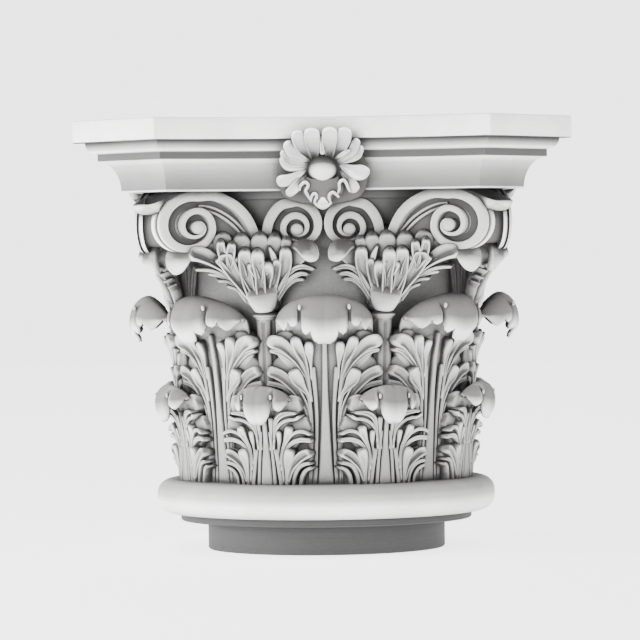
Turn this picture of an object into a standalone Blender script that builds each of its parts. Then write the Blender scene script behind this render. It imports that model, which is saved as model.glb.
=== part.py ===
"""A Corinthian column capital in cast plaster, one solid, metres, +Z up.

The capital has four equal faces, and each face is symmetric. So one eighth of it is modelled,
from the middle of the front face (the plane X = 0, where Y is negative) to the corner on the
right, and three mirrors make the rest.
"""

import math

import bmesh
import bpy
from mathutils import Matrix, Vector

# Neck and shoulder that sit in and on the shaft
PLUG_RADIUS = 0.1183
PLUG_HEIGHT = 0.0291
SHOULDER_RADIUS = 0.1452
SHOULDER_HEIGHT = 0.0076

# Torus above the shoulder
TORUS_RADIUS = 0.1687
TORUS_HEIGHT = 0.0336
TORUS_FULLNESS = 0.8
TORUS_FLATNESS = 0.9

# Bell behind the leaves
BELL_FOOT_RADIUS = 0.1265
BELL_WAIST_RADIUS = 0.1310
BELL_SHOULDER_RADIUS = 0.1460
BELL_LIP_RADIUS = 0.1600
BELL_HEIGHT = 0.2824
BELL_LIP_HEIGHT = 0.0090
BELL_IN_ABACUS = 0.0040

# Abacus
ABACUS_HALF_WIDTH = 0.2385
CUT_CORNER_WIDTH = 0.1152
SIDE_HOLLOW = 0.0360
FASCIA_HEIGHT = 0.0205
SOFFIT_WIDTH = 0.0095
OVOLO_HEIGHT = 0.0110
OVOLO_WIDTH = 0.0100
FILLET_HEIGHT = 0.0070
CAVETTO_HEIGHT = 0.0300
CAVETTO_WIDTH = 0.0188

# Angles from the middle of a face
STALK_ANGLE = math.radians(22.5)
CORNER_ANGLE = math.radians(45.0)

# Lower leaves, their height as a share of the bell's. A line of a leaf holds (share of the
# reach, share of the height) from its foot on, and the tip has sizes of its own.
LOWER_LEAF_HEIGHT = 0.3152
LOWER_LEAF_REACH = 0.1670
LOWER_LEAF_FOOT = 0.1410
LOWER_LEAF_HALF_WIDTH = 0.0460
LOWER_LEAF_TIP = 0.0290
LOWER_LEAF_TIP_REACH = 0.75
LOWER_LEAF_LINE = (
    (0.00, 0.00), (0.10, 0.30), (0.22, 0.60), (0.42, 0.90), (0.72, 1.00), (0.98, 0.90),
    (0.95, 0.72),
)
LOWER_LEAF_WIDTHS = (
    (0.0, 0.85), (0.3, 1.0), (0.5, 0.90), (0.7, 0.66), (0.85, 0.56), (1.0, 0.48),
)
LOWER_LEAF_TIERS = 4

# Upper leaves, their height as a share of the bell's
UPPER_LEAF_HEIGHT = 0.6232
UPPER_LEAF_REACH = 0.1830
UPPER_LEAF_FOOT = 0.1350
UPPER_LEAF_HALF_WIDTH = 0.0530
UPPER_LEAF_TIP = 0.0350
UPPER_LEAF_TIP_REACH = 0.82
UPPER_LEAF_LINE = (
    (0.00, 0.00), (0.04, 0.25), (0.10, 0.50), (0.20, 0.75), (0.38, 0.92), (0.68, 1.00),
    (0.94, 0.95), (1.00, 0.86),
)
UPPER_LEAF_WIDTHS = (
    (0.0, 0.40), (0.2, 0.62), (0.42, 1.0), (0.60, 0.98), (0.72, 0.90), (0.86, 0.86),
    (1.0, 0.76),
)
UPPER_LEAF_TIERS = 5

# Relief of a leaf. Its profiles hold (share of the half width, rise) or (share of the
# length, share of the effect).
LEAF_THICKNESS = 0.0100
LEAF_EMBED = 0.0100
RIB_RISE = 0.0035
LEAFLET_RISE = 0.0055
LEAFLET_SWEEP = 0.08
LEAFLET_NOTCH = 0.30
GROOVE_DEPTH = 0.0042
LEAF_RELIEF = ((0.0, RIB_RISE), (0.25, -GROOVE_DEPTH), (0.6, LEAFLET_RISE), (1.0, 0.0))
LEAF_BEND = ((0.0, 0.0), (0.45, 0.0), (0.70, 0.50), (1.0, 0.55))
LEAF_DROOP = 0.20
LEAF_SCALLOPS = ((0.0, 0.0), (0.25, 0.055), (0.5, 0.03), (0.75, 0.085), (1.0, 0.07))
LEAF_COLUMNS = 8
LEAF_HOOD_ROWS = 6
LEAF_STANDING = ((0.0, 1.0), (0.45, 1.0), (0.65, 0.0), (1.0, 0.0))
LEAF_SCALLOPED = ((0.0, 0.0), (0.8, 0.0), (1.0, 1.0))
LEAF_CARVED = ((0.0, 1.0), (0.7, 1.0), (0.85, 0.35), (1.0, 0.0))
LEAFLET_FOOT = 0.3

# Fluted stalks and their collars, at heights that are shares of the bell's
STALK_FOOT_HEIGHT = 0.2125
COLLAR_HEIGHT = 0.5772
STALK_RADIUS = 0.0105
STALK_FOOT_RADIUS = 0.0080
STALK_STAND = 0.0040
COLLAR_RADIUS = 0.0128
COLLAR_THICKNESS = 0.0048
FLUTE_DEPTH = 0.0022
CUP_HEIGHT = 0.0180
CUP_RADIUS = 0.0170

# Calyx leaves above the collars, their height as a share of the bell's. A line of a calyx
# leaf holds (share of the angle, share of the reach, share of the height) from its foot on.
CALYX_HEIGHT = 0.1700
CALYX_THICKNESS = 0.0070
CALYX_OUTER_REACH = 0.2150
CALYX_OUTER_HALF_WIDTH = 0.0220
CALYX_OUTER_LINE = (
    (0.00, 0.67, 0.00), (0.14, 0.73, 0.35), (0.36, 0.78, 0.68), (0.60, 0.865, 0.92),
    (0.80, 0.95, 1.00), (0.90, 1.005, 0.90), (0.92, 1.00, 0.66),
)
CALYX_OUTER_WIDTHS = ((0.0, 0.45), (0.3, 0.95), (0.6, 1.0), (0.85, 0.91), (1.0, 0.45))
CALYX_INNER_REACH = 0.1840
CALYX_INNER_HALF_WIDTH = 0.0180
CALYX_INNER_LINE = (
    (0.00, 0.79, 0.00), (0.12, 0.85, 0.38), (0.34, 0.885, 0.80), (0.56, 0.925, 1.15),
    (0.72, 0.96, 1.28), (0.82, 1.00, 1.18), (0.85, 0.995, 0.98),
)
CALYX_INNER_WIDTHS = ((0.0, 0.56), (0.3, 1.0), (0.6, 1.0), (0.85, 0.78), (1.0, 0.44))

# Scrolls of the volutes and helices. The radii and the widths of a scroll are shares of its
# first ones, at each quarter turn from the top on, and the second radius and the last one
# have sizes of their own. The stem holds (share of its reach, share of its rise) from its
# foot, which is at a share of the way down from the eye to the collar.
STEM_LINE = ((1.00, 0.00), (0.92, 0.30), (0.77, 0.63), (0.54, 0.86), (0.27, 0.97))
STEM_FOOT = 0.31
VOLUTE_TURNS = (0.615, 0.519, 0.511, 0.478, 0.282, 0.215)
VOLUTE_WIDTHS = (1.0, 0.85, 0.77, 0.73, 0.68, 0.59, 0.50, 0.41, 0.27)
HELIX_TURNS = (0.431, 0.498, 0.526, 0.354, 0.215)
HELIX_WIDTHS = (1.0, 0.80, 0.45, 0.60, 0.70, 0.45, 0.30, 0.25)
SCROLL_OVERLAP = 0.0010

# Corner volutes
VOLUTE_EYE_INSET = 0.0322
VOLUTE_EYE_DROP = 0.0367
VOLUTE_EYE_RADIUS = 0.0062
VOLUTE_REACH = 0.2376
VOLUTE_EDGE_HALF_WIDTH = 0.0184
VOLUTE_SPLAY = 0.60
VOLUTE_RECESS = 0.0080
VOLUTE_RADIUS = 0.0372
VOLUTE_BAND_WIDTH = 0.0110
VOLUTE_STEM_REACH = 0.0600
VOLUTE_STEM_WIDTH = 0.0085
EDGE_CHANNEL_HALF_WIDTH = 0.0060
EDGE_CHANNEL_DEPTH = 0.0045

# Inner helices
HELIX_EYE_OFFSET = 0.0250
HELIX_EYE_DROP = 0.0375
HELIX_EYE_RADIUS = 0.0060
HELIX_GAP = 0.0030
HELIX_RADIUS = 0.0325
HELIX_BAND_WIDTH = 0.0100
HELIX_STEM_REACH = 0.0350
HELIX_STEM_WIDTH = 0.0090
HELIX_BAND_FOOT = 0.0030
HELIX_FACE = 0.1650
HELIX_RECESS = 0.0070
HELIX_THICKNESS = 0.0200
HELIX_SLANT = 0.15

# Tongue leaves under the abacus corners
TONGUE_HALF_WIDTH = 0.0170
TONGUE_REACH = 0.2480
TONGUE_DROP = 0.0200
TONGUE_THICKNESS = 0.0060
TONGUE_LINE = ((0.81, 0.10), (0.895, 0.20), (0.97, 0.55), (1.00, 1.00))

# Flowers on the abacus
FLOWER_DROP = 0.0475
FLOWER_BUTTON_RADIUS = 0.0140
FLOWER_BUTTON_RISE = 0.0110
FLOWER_HALF_WIDTH = 0.0450
FLOWER_RISE = 0.0120
FLOWER_FACE = 0.1980
FLOWER_LEAN = 0.40
FLOWER_DEPTH = 0.0450
FLOWER_TALL = 0.85
FLOWER_PETALS = 8

# Fineness of the solids
TURN_STEPS = 40
SIDE_STEPS = 8
STALK_SIDES = 16
STEM_STEPS = 8
QUARTER_STEPS = 6
EYE_SIDES = 16
WEDGE_MARGIN = math.radians(2.0)
WEDGE_OVERSHOOT = 0.0100
MIRROR_GRIP = 0.00002
LEAVES_GRAIN = 0.0040
SCROLLS_GRAIN = 0.0018
LEAVES_SHARE = 0.0340
SCROLLS_SHARE = 0.0110
FLOWER_SIDES = 16

# Cast plaster
PLASTER_COLOUR = (0.78, 0.78, 0.77, 1.0)
PLASTER_ROUGHNESS = 0.85

TORUS_FOOT_Z = PLUG_HEIGHT + SHOULDER_HEIGHT
BELL_FOOT_Z = TORUS_FOOT_Z + TORUS_HEIGHT
ABACUS_FOOT_Z = BELL_FOOT_Z + BELL_HEIGHT
COLLAR_Z = BELL_FOOT_Z + COLLAR_HEIGHT * BELL_HEIGHT
VOLUTE_EYE_REACH = VOLUTE_REACH - VOLUTE_EYE_INSET
ABACUS_HEIGHT = FASCIA_HEIGHT + OVOLO_HEIGHT + FILLET_HEIGHT + CAVETTO_HEIGHT
TOP_Z = ABACUS_FOOT_Z + ABACUS_HEIGHT


def clear_scene():
    """Take away what a new scene holds."""
    for thing in list(bpy.data.objects):
        bpy.data.objects.remove(thing)


def plaster():
    """Matte white plaster."""
    material = bpy.data.materials.new("white_plaster")
    material.use_nodes = True
    shader = material.node_tree.nodes["Principled BSDF"]
    shader.inputs["Base Color"].default_value = PLASTER_COLOUR
    shader.inputs["Roughness"].default_value = PLASTER_ROUGHNESS
    shader.inputs["Metallic"].default_value = 0.0
    return material


def polar(angle, radius, height):
    """The point at an angle from the middle of the front face, to the right."""
    return Vector((radius * math.sin(angle), -radius * math.cos(angle), height))


def corner_point(reach, across, height):
    """A point by its reach along the right corner's diagonal and its way across it."""
    side = math.sin(CORNER_ANGLE)
    ahead = math.cos(CORNER_ANGLE)
    return Vector((reach * side - across * ahead, -reach * ahead - across * side, height))


def between(keys, place):
    """The value at a place in a list of (place, value) pairs, eased between them."""
    for (start, low), (end, high) in zip(keys, keys[1:]):
        if place <= end:
            share = (place - start) / (end - start)
            share = share * share * (3.0 - 2.0 * share)
            return low + (high - low) * share
    return keys[-1][1]


def smooth_point(points, place):
    """The point at a share of the way along a smooth curve through all the points."""
    reach = place * (len(points) - 1)
    index = min(int(reach), len(points) - 2)
    share = reach - index
    near = [points[max(0, min(len(points) - 1, index + step))] for step in (-1, 0, 1, 2)]
    before, start, end, after = (Vector(point) for point in near)
    return 0.5 * (
        2.0 * start
        + (end - before) * share
        + (2.0 * before - 5.0 * start + 4.0 * end - after) * share**2
        + (3.0 * start - before - 3.0 * end + after) * share**3
    )


def bell_radius(height):
    """The bell's radius at a height."""
    keys = (
        (BELL_FOOT_Z, BELL_FOOT_RADIUS),
        (BELL_FOOT_Z + 0.45 * BELL_HEIGHT, BELL_WAIST_RADIUS),
        (BELL_FOOT_Z + 0.80 * BELL_HEIGHT, BELL_SHOULDER_RADIUS),
        (BELL_FOOT_Z + BELL_HEIGHT - BELL_LIP_HEIGHT, BELL_LIP_RADIUS),
    )
    if height <= BELL_FOOT_Z:
        return BELL_FOOT_RADIUS
    return between(keys, height)


def add_object(name, mesh, collection):
    thing = bpy.data.objects.new(name, mesh)
    collection.objects.link(thing)
    return thing


def object_from(form, name, collection):
    """An object with the mesh of a bmesh, its faces turned outwards."""
    bmesh.ops.recalc_face_normals(form, faces=form.faces)
    if form.calc_volume(signed=True) < 0.0:
        bmesh.ops.reverse_faces(form, faces=form.faces)
    mesh = bpy.data.meshes.new(name)
    form.to_mesh(mesh)
    form.free()
    return add_object(name, mesh, collection)


def sheet(name, collection, columns, rows, front, back):
    """A closed sheet: a grid whose points the two functions place on its front and back."""
    form = bmesh.new()
    bmesh.ops.create_grid(form, x_segments=columns, y_segments=rows, size=1.0)
    places = [(vertex, vertex.co.x, 0.5 * (vertex.co.y + 1.0)) for vertex in form.verts]
    backs = {}
    grown = bmesh.ops.extrude_face_region(form, geom=form.faces[:])
    for item in grown["geom"]:
        if isinstance(item, bmesh.types.BMVert):
            backs[item] = (item.co.x, 0.5 * (item.co.y + 1.0))
    for vertex, across, along in places:
        vertex.co = front(across, along)
    for vertex, (across, along) in backs.items():
        vertex.co = back(across, along)
    return object_from(form, name, collection)


def plate(name, collection, outline, place):
    """A flat outline given thickness, then set in place by a function of (x, y, side)."""
    curve = bpy.data.curves.new(name, "CURVE")
    curve.dimensions = "2D"
    curve.fill_mode = "BOTH"
    curve.extrude = 0.5
    spline = curve.splines.new("POLY")
    spline.points.add(len(outline) - 1)
    for point, (x, y) in zip(spline.points, outline):
        point.co = (x, y, 0.0, 1.0)
    spline.use_cyclic_u = True
    guide = add_object(name + "_outline", curve, collection)
    bpy.context.view_layer.update()
    evaluated = guide.evaluated_get(bpy.context.evaluated_depsgraph_get())
    mesh = bpy.data.meshes.new_from_object(evaluated)
    bpy.data.objects.remove(guide)
    form = bmesh.new()
    form.from_mesh(mesh)
    bmesh.ops.remove_doubles(form, verts=form.verts, dist=0.00001)
    for vertex in form.verts:
        vertex.co = place(vertex.co.x, vertex.co.y, 1.0 if vertex.co.z > 0.0 else 0.0)
    return object_from(form, name, collection)


def bell_inside(collection):
    """The part of the bell that the carving never reaches, to hollow the carving's back."""
    heights = [BELL_FOOT_Z - 0.5 * TORUS_HEIGHT]
    for share in (0.0, 0.33, 0.66, 1.0):
        heights.append(BELL_FOOT_Z + share * (BELL_HEIGHT - BELL_LIP_HEIGHT))
    rings = []
    for height in heights:
        radius = bell_radius(height) - LEAF_EMBED
        turns = [2.0 * math.pi * step / TURN_STEPS for step in range(TURN_STEPS)]
        rings.append([polar(turn, radius, height) for turn in turns])
    return loft("bell_inside", collection, rings)


def turned_core(collection):
    """The neck plug, shoulder, torus and bell, turned about the axis."""
    torus_middle = TORUS_FOOT_Z + 0.5 * TORUS_HEIGHT
    torus_round = 0.5 * TORUS_HEIGHT
    profile = [(0.0, ABACUS_FOOT_Z + BELL_IN_ABACUS)]
    profile.append((BELL_LIP_RADIUS, ABACUS_FOOT_Z + BELL_IN_ABACUS))
    lip_foot = ABACUS_FOOT_Z - BELL_LIP_HEIGHT
    for step in range(4):
        height = lip_foot - step / 3.0 * (lip_foot - BELL_FOOT_Z)
        profile.append((bell_radius(height), height))
    for step in range(7):
        turn = math.radians(90.0 - 30.0 * step)
        rise = math.copysign(abs(math.sin(turn)) ** TORUS_FULLNESS, math.sin(turn))
        reach = TORUS_RADIUS - torus_round * (1.0 - abs(math.cos(turn)) ** TORUS_FLATNESS)
        profile.append((reach, torus_middle + torus_round * rise))
    profile.append((SHOULDER_RADIUS, TORUS_FOOT_Z))
    profile.append((SHOULDER_RADIUS, PLUG_HEIGHT))
    profile.append((PLUG_RADIUS, PLUG_HEIGHT))
    profile.append((PLUG_RADIUS, 0.0))
    profile.append((0.0, 0.0))
    form = bmesh.new()
    points = [form.verts.new((radius, 0.0, height)) for radius, height in profile]
    for start, end in zip(points, points[1:]):
        form.edges.new((start, end))
    mesh = bpy.data.meshes.new("capital")
    form.to_mesh(mesh)
    form.free()
    core = add_object("capital", mesh, collection)
    screw = core.modifiers.new("turn", "SCREW")
    screw.axis = "Z"
    screw.steps = TURN_STEPS
    screw.render_steps = TURN_STEPS
    screw.use_merge_vertices = True
    screw.merge_threshold = 0.00001
    return core


def abacus_plan():
    """The plan of the abacus: four hollow sides and four cut corners."""
    cut = CUT_CORNER_WIDTH * math.sin(CORNER_ANGLE)
    chord_half = ABACUS_HALF_WIDTH - cut
    radius = (chord_half**2 + SIDE_HOLLOW**2) / (2.0 * SIDE_HOLLOW)
    middle = -ABACUS_HALF_WIDTH + SIDE_HOLLOW - radius
    half_turn = math.asin(chord_half / radius)
    plan = []
    for side in range(4):
        for step in range(SIDE_STEPS + 1):
            turn = half_turn * (2.0 * step / SIDE_STEPS - 1.0)
            point = Vector((radius * math.sin(turn), middle + radius * math.cos(turn)))
            plan.append(Matrix.Rotation(side * math.pi / 2.0, 2) @ point)
    return plan


def abacus(collection):
    """The moulded slab on top: fascia, soffit, ovolo, fillet and cavetto."""
    form = bmesh.new()
    top = form.faces.new([form.verts.new((x, y, TOP_Z)) for x, y in reversed(abacus_plan())])
    grown = bmesh.ops.extrude_face_region(form, geom=[top])
    face = next(item for item in grown["geom"] if isinstance(item, bmesh.types.BMFace))
    bmesh.ops.translate(form, verts=face.verts, vec=(0.0, 0.0, -FASCIA_HEIGHT))
    steps = [(SOFFIT_WIDTH, 0.0)]
    quarter = [math.radians(angle) for angle in (0.0, 30.0, 60.0, 90.0)]
    for start, end in zip(quarter, quarter[1:]):
        inward = OVOLO_WIDTH * (math.cos(start) - math.cos(end))
        steps.append((inward, OVOLO_HEIGHT * (math.sin(end) - math.sin(start))))
    steps.append((0.0, FILLET_HEIGHT))
    for start, end in zip(quarter, quarter[1:]):
        inward = CAVETTO_WIDTH * (math.sin(end) - math.sin(start))
        steps.append((inward, CAVETTO_HEIGHT * (math.cos(start) - math.cos(end))))
    for inward, downward in steps:
        bmesh.ops.inset_region(
            form, faces=[face], thickness=inward, depth=downward, use_even_offset=True
        )
    return object_from(form, "abacus", collection)


def leaf_spine(foot, reach, high, line, tip_reach, tip):
    """The line of a leaf's middle rib, as (radius, height) points."""
    base = BELL_FOOT_Z - LEAF_EMBED
    out = reach - foot
    spine = [(foot + share * out, base + up * high) for share, up in line]
    spine.append((foot + tip_reach * out, base + high - tip))
    return spine


def leaf(name, collection, angle, spine, widths, tiers):
    """An acanthus leaf that stands on the bell and turns over into a scalloped hood."""
    rows = 2 * tiers + LEAF_HOOD_ROWS

    def place(across, along, sunk):
        row = round(along * rows)
        column = abs(across)
        notch = 1.0 if row % 2 == 1 and row < 2 * tiers else 0.0
        along += LEAFLET_SWEEP * column**2 * along * (1.0 - along)
        along -= between(LEAF_SCALLOPS, column) * between(LEAF_SCALLOPED, along)
        half = between(widths, along) * (1.0 - LEAFLET_NOTCH * notch * column**3)
        relief = between(LEAF_RELIEF, column)
        if column > LEAFLET_FOOT:
            relief -= (LEAFLET_RISE + column * GROOVE_DEPTH) * notch
        lift = relief * between(LEAF_CARVED, along) - sunk
        here = smooth_point(spine, along)
        ahead = smooth_point(spine, min(1.0, along + 0.01))
        behind = smooth_point(spine, max(0.0, along - 0.01))
        climb = (ahead - behind).normalized()
        bend = between(LEAF_BEND, along) * half * column**2
        radial = here.x + climb.y * lift - bend
        height = here.y - climb.x * lift - LEAF_DROOP * bend
        return radial, height, across * half / here.x

    def front(across, along):
        radial, height, turn = place(across, along, 0.0)
        return polar(angle + turn, radial, height)

    def back(across, along):
        radial, height, turn = place(across, along, LEAF_THICKNESS)
        standing = between(LEAF_STANDING, along)
        sunk = bell_radius(height) - LEAF_EMBED
        radial = min(radial, standing * sunk + (1.0 - standing) * radial)
        return polar(angle + turn, radial, height)

    return sheet(name, collection, LEAF_COLUMNS, rows, front, back)


def lower_leaf(collection):
    spine = leaf_spine(LOWER_LEAF_FOOT, LOWER_LEAF_REACH, LOWER_LEAF_HEIGHT * BELL_HEIGHT,
                       LOWER_LEAF_LINE, LOWER_LEAF_TIP_REACH, LOWER_LEAF_TIP)
    widths = [(along, share * LOWER_LEAF_HALF_WIDTH) for along, share in LOWER_LEAF_WIDTHS]
    return leaf("lower_leaf", collection, STALK_ANGLE, spine, widths, LOWER_LEAF_TIERS)


def upper_leaf(name, collection, angle):
    spine = leaf_spine(UPPER_LEAF_FOOT, UPPER_LEAF_REACH, UPPER_LEAF_HEIGHT * BELL_HEIGHT,
                       UPPER_LEAF_LINE, UPPER_LEAF_TIP_REACH, UPPER_LEAF_TIP)
    widths = [(along, share * UPPER_LEAF_HALF_WIDTH) for along, share in UPPER_LEAF_WIDTHS]
    return leaf(name, collection, angle, spine, widths, UPPER_LEAF_TIERS)


def loft(name, collection, rings):
    """A closed solid through rings of as many points each, with flat ends."""
    form = bmesh.new()
    lines = [[form.verts.new(point) for point in ring] for ring in rings]
    count = len(lines[0])
    for low, high in zip(lines, lines[1:]):
        for index in range(count):
            after = (index + 1) % count
            form.faces.new((low[index], low[after], high[after], high[index]))
    form.faces.new(lines[0])
    form.faces.new(lines[-1])
    return object_from(form, name, collection)


def stalk(collection):
    """A fluted stalk with its collar and the cup of its calyx."""
    collar = COLLAR_Z
    half_collar = 0.5 * COLLAR_THICKNESS
    cup = CUP_HEIGHT
    stations = (
        (BELL_FOOT_Z + STALK_FOOT_HEIGHT * BELL_HEIGHT, STALK_FOOT_RADIUS, FLUTE_DEPTH),
        (collar - half_collar, STALK_RADIUS, FLUTE_DEPTH),
        (collar - 0.6 * half_collar, COLLAR_RADIUS, 0.0),
        (collar + 0.6 * half_collar, COLLAR_RADIUS, 0.0),
        (collar + half_collar, STALK_RADIUS, 0.0),
        (collar + half_collar + 0.4 * cup, 0.6 * STALK_RADIUS + 0.4 * CUP_RADIUS, 0.0),
        (collar + half_collar + cup, CUP_RADIUS, FLUTE_DEPTH),
    )
    rings = []
    for height, radius, flute in stations:
        middle = bell_radius(height) + STALK_STAND
        ring = []
        for index in range(STALK_SIDES):
            turn = 2.0 * math.pi * index / STALK_SIDES
            grown = radius - flute * (index % 2)
            reach = middle + grown * math.cos(turn)
            ring.append(polar(STALK_ANGLE + grown * math.sin(turn) / middle, reach, height))
        rings.append(ring)
    return loft("stalk", collection, rings)


def blade(name, collection, spine, widths, columns, rows):
    """A calyx leaf: a cupped blade along a curve in space, with a scalloped edge."""

    def frame(along):
        here = smooth_point(spine, along)
        ahead = smooth_point(spine, min(1.0, along + 0.01))
        behind = smooth_point(spine, max(0.0, along - 0.01))
        climb = (ahead - behind).normalized()
        outward = Vector((here.x, here.y, 0.0)).normalized()
        face = (outward - climb * outward.dot(climb)).normalized()
        return here, face, climb.cross(face)

    def place(across, along, sunk):
        here, face, side = frame(along)
        row = round(along * rows)
        notch = 1.0 if row % 2 == 1 else 0.0
        column = abs(across)
        half = between(widths, along) * (1.0 - LEAFLET_NOTCH * notch * column)
        lift = RIB_RISE if column < 0.1 else -GROOVE_DEPTH * (1.0 - column) * (1.0 + notch)
        return here + face * (lift - sunk) + side * (across * half)

    def front(across, along):
        return place(across, along, 0.0)

    def back(across, along):
        return place(across, along, CALYX_THICKNESS)

    return sheet(name, collection, columns, rows, front, back)


def calyx_leaf(name, collection, angle, reach, line, half_width, widths):
    """A calyx leaf that grows from the collar towards an angle."""
    foot = COLLAR_Z + 0.5 * COLLAR_THICKNESS
    spine = [
        polar(STALK_ANGLE + turn * (angle - STALK_ANGLE), out * reach,
              foot + up * CALYX_HEIGHT * BELL_HEIGHT)
        for turn, out, up in line
    ]
    widths = [(along, share * half_width) for along, share in widths]
    return blade(name, collection, spine, widths, 4, 8)


def outer_calyx(collection):
    """The calyx leaf that runs out under the corner volute."""
    return calyx_leaf("outer_calyx", collection, CORNER_ANGLE, CALYX_OUTER_REACH,
                      CALYX_OUTER_LINE, CALYX_OUTER_HALF_WIDTH, CALYX_OUTER_WIDTHS)


def inner_calyx(collection):
    """The calyx leaf that runs in under the helix."""
    return calyx_leaf("inner_calyx", collection, 0.0, CALYX_INNER_REACH,
                      CALYX_INNER_LINE, CALYX_INNER_HALF_WIDTH, CALYX_INNER_WIDTHS)


def stem_line(eye_z, reach, top):
    """The points of a scroll's stem about its eye, from the calyx up to the scroll's top."""
    foot = -STEM_FOOT * (eye_z - COLLAR_Z)
    return [(-out * reach, foot + up * (top - foot)) for out, up in STEM_LINE]


def scroll_edges(stem, stem_width, radii, widths):
    """The outer and the inner edge of a scroll about its eye, from its stem to the eye.

    Radii and widths are given at each quarter turn, from the top on. The stem is a line of
    points that ends at the top.
    """
    outer = []
    inner = []
    ends = [(x, y) for x, y in stem]
    top = radii[0] - 0.5 * widths[0]
    ends.append((0.0, top))
    for step in range(STEM_STEPS):
        place = step / STEM_STEPS
        here = smooth_point(ends, place)
        ahead = (smooth_point(ends, place + 0.02) - here).normalized()
        half = 0.5 * (stem_width + (widths[0] - stem_width) * place)
        outer.append((here.x - ahead.y * half, here.y + ahead.x * half))
        inner.append((here.x + ahead.y * half, here.y - ahead.x * half))
    quarters = len(radii) - 1
    steps = quarters * QUARTER_STEPS
    for step in range(steps + 1):
        place = step / steps
        turn = math.radians(90.0) * (1.0 - place * quarters)
        radius = smooth_point([(value, 0.0) for value in radii], place).x
        width = smooth_point([(value, 0.0) for value in widths], place).x
        outer.append((radius * math.cos(turn), radius * math.sin(turn)))
        radius -= width
        inner.append((radius * math.cos(turn), radius * math.sin(turn)))
    return outer, inner


def scroll(name, collection, stem, stem_width, radii, widths, eye_radius, recess, place):
    """A raised scroll band with its eye, on a recessed field; place takes (x, y, side)."""
    outer, inner = scroll_edges(stem, stem_width, radii, widths)
    band = plate(name + "_band", collection, outer + inner[::-1], place["band"])
    first_turn = STEM_STEPS + 3 * QUARTER_STEPS + 1
    rim = [Vector(point) for point in outer[:first_turn]]
    drawn = [point * (1.0 - recess / max(point.length, recess)) for point in rim]
    field = [tuple(point) for point in drawn] + [inner[0]]
    body = plate(name + "_field", collection, field, place["field"])
    circle = [
        (eye_radius * math.cos(turn), eye_radius * math.sin(turn))
        for turn in (math.radians(360.0 * step / EYE_SIDES) for step in range(EYE_SIDES))
    ]
    eye = plate(name + "_eye", collection, circle, place["eye"])
    return [band, body, eye]


def corner_volute(collection):
    """Half of a corner volute, from its diagonal plane to the face of its scroll."""
    eye_z = ABACUS_FOOT_Z - VOLUTE_EYE_DROP
    slant = math.hypot(1.0, VOLUTE_SPLAY)

    def face(reach):
        return VOLUTE_EDGE_HALF_WIDTH + VOLUTE_SPLAY * (VOLUTE_REACH - reach)

    def placed(x, y, share, low, high):
        reach = VOLUTE_EYE_REACH + x / slant
        front = face(reach) - high
        back = low if low <= 0.0 else front - low
        return corner_point(reach, back + share * (front - back), eye_z + y)

    rim = VOLUTE_EDGE_HALF_WIDTH - EDGE_CHANNEL_HALF_WIDTH
    place = {
        "band": lambda x, y, share: placed(x, y, share, rim, 0.0),
        "field": lambda x, y, share: placed(x, y, share, -SCROLL_OVERLAP, VOLUTE_RECESS),
        "eye": lambda x, y, share: placed(x, y, share, rim, -SCROLL_OVERLAP),
    }
    radii = [VOLUTE_RADIUS, VOLUTE_EYE_INSET * slant]
    radii += [share * VOLUTE_RADIUS for share in VOLUTE_TURNS]
    radii.append(VOLUTE_EYE_RADIUS)
    widths = [share * VOLUTE_BAND_WIDTH for share in VOLUTE_WIDTHS]
    stem = stem_line(eye_z, VOLUTE_STEM_REACH, VOLUTE_RADIUS - 0.5 * VOLUTE_BAND_WIDTH)
    return scroll("volute", collection, stem, VOLUTE_STEM_WIDTH, radii, widths,
                  VOLUTE_EYE_RADIUS, EDGE_CHANNEL_DEPTH, place)


def helix(collection):
    """The inner scroll that meets its twin at the middle of the face."""
    eye_z = ABACUS_FOOT_Z - HELIX_EYE_DROP
    deep = HELIX_RECESS + HELIX_BAND_FOOT

    def placed(x, y, share, low, high):
        offset = HELIX_EYE_OFFSET - x
        front = HELIX_FACE - HELIX_SLANT * abs(offset) - high
        return Vector((offset, -(front - low + share * low), eye_z + y))

    place = {
        "band": lambda x, y, share: placed(x, y, share, deep, 0.0),
        "field": lambda x, y, share: placed(x, y, share, HELIX_THICKNESS, HELIX_RECESS),
        "eye": lambda x, y, share: placed(x, y, share, deep, -SCROLL_OVERLAP),
    }
    radii = [HELIX_RADIUS, HELIX_EYE_OFFSET - 0.5 * HELIX_GAP]
    radii += [share * HELIX_RADIUS for share in HELIX_TURNS]
    radii.append(HELIX_EYE_RADIUS)
    widths = [share * HELIX_BAND_WIDTH for share in HELIX_WIDTHS]
    stem = stem_line(eye_z, HELIX_STEM_REACH, HELIX_RADIUS - 0.5 * HELIX_BAND_WIDTH)
    return scroll("helix", collection, stem, HELIX_STEM_WIDTH, radii, widths,
                  HELIX_EYE_RADIUS, 0.0, place)


def tongue(collection):
    """The leaf that curls out under the corner of the abacus."""
    spine = [
        (out * TONGUE_REACH, ABACUS_FOOT_Z - down * TONGUE_DROP) for out, down in TONGUE_LINE
    ]

    def place(across, along, sunk):
        here = smooth_point(spine, along)
        half = TONGUE_HALF_WIDTH * between(((0.0, 0.8), (0.7, 1.0), (1.0, 0.75)), along)
        sag = 0.15 * half * across * across
        return corner_point(here.x - sag, across * half, here.y - sunk + 0.5 * sag)

    def front(across, along):
        return place(across, along, 0.0)

    def back(across, along):
        return place(across, along, TONGUE_THICKNESS)

    return sheet("tongue", collection, 4, 4, front, back)


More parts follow.
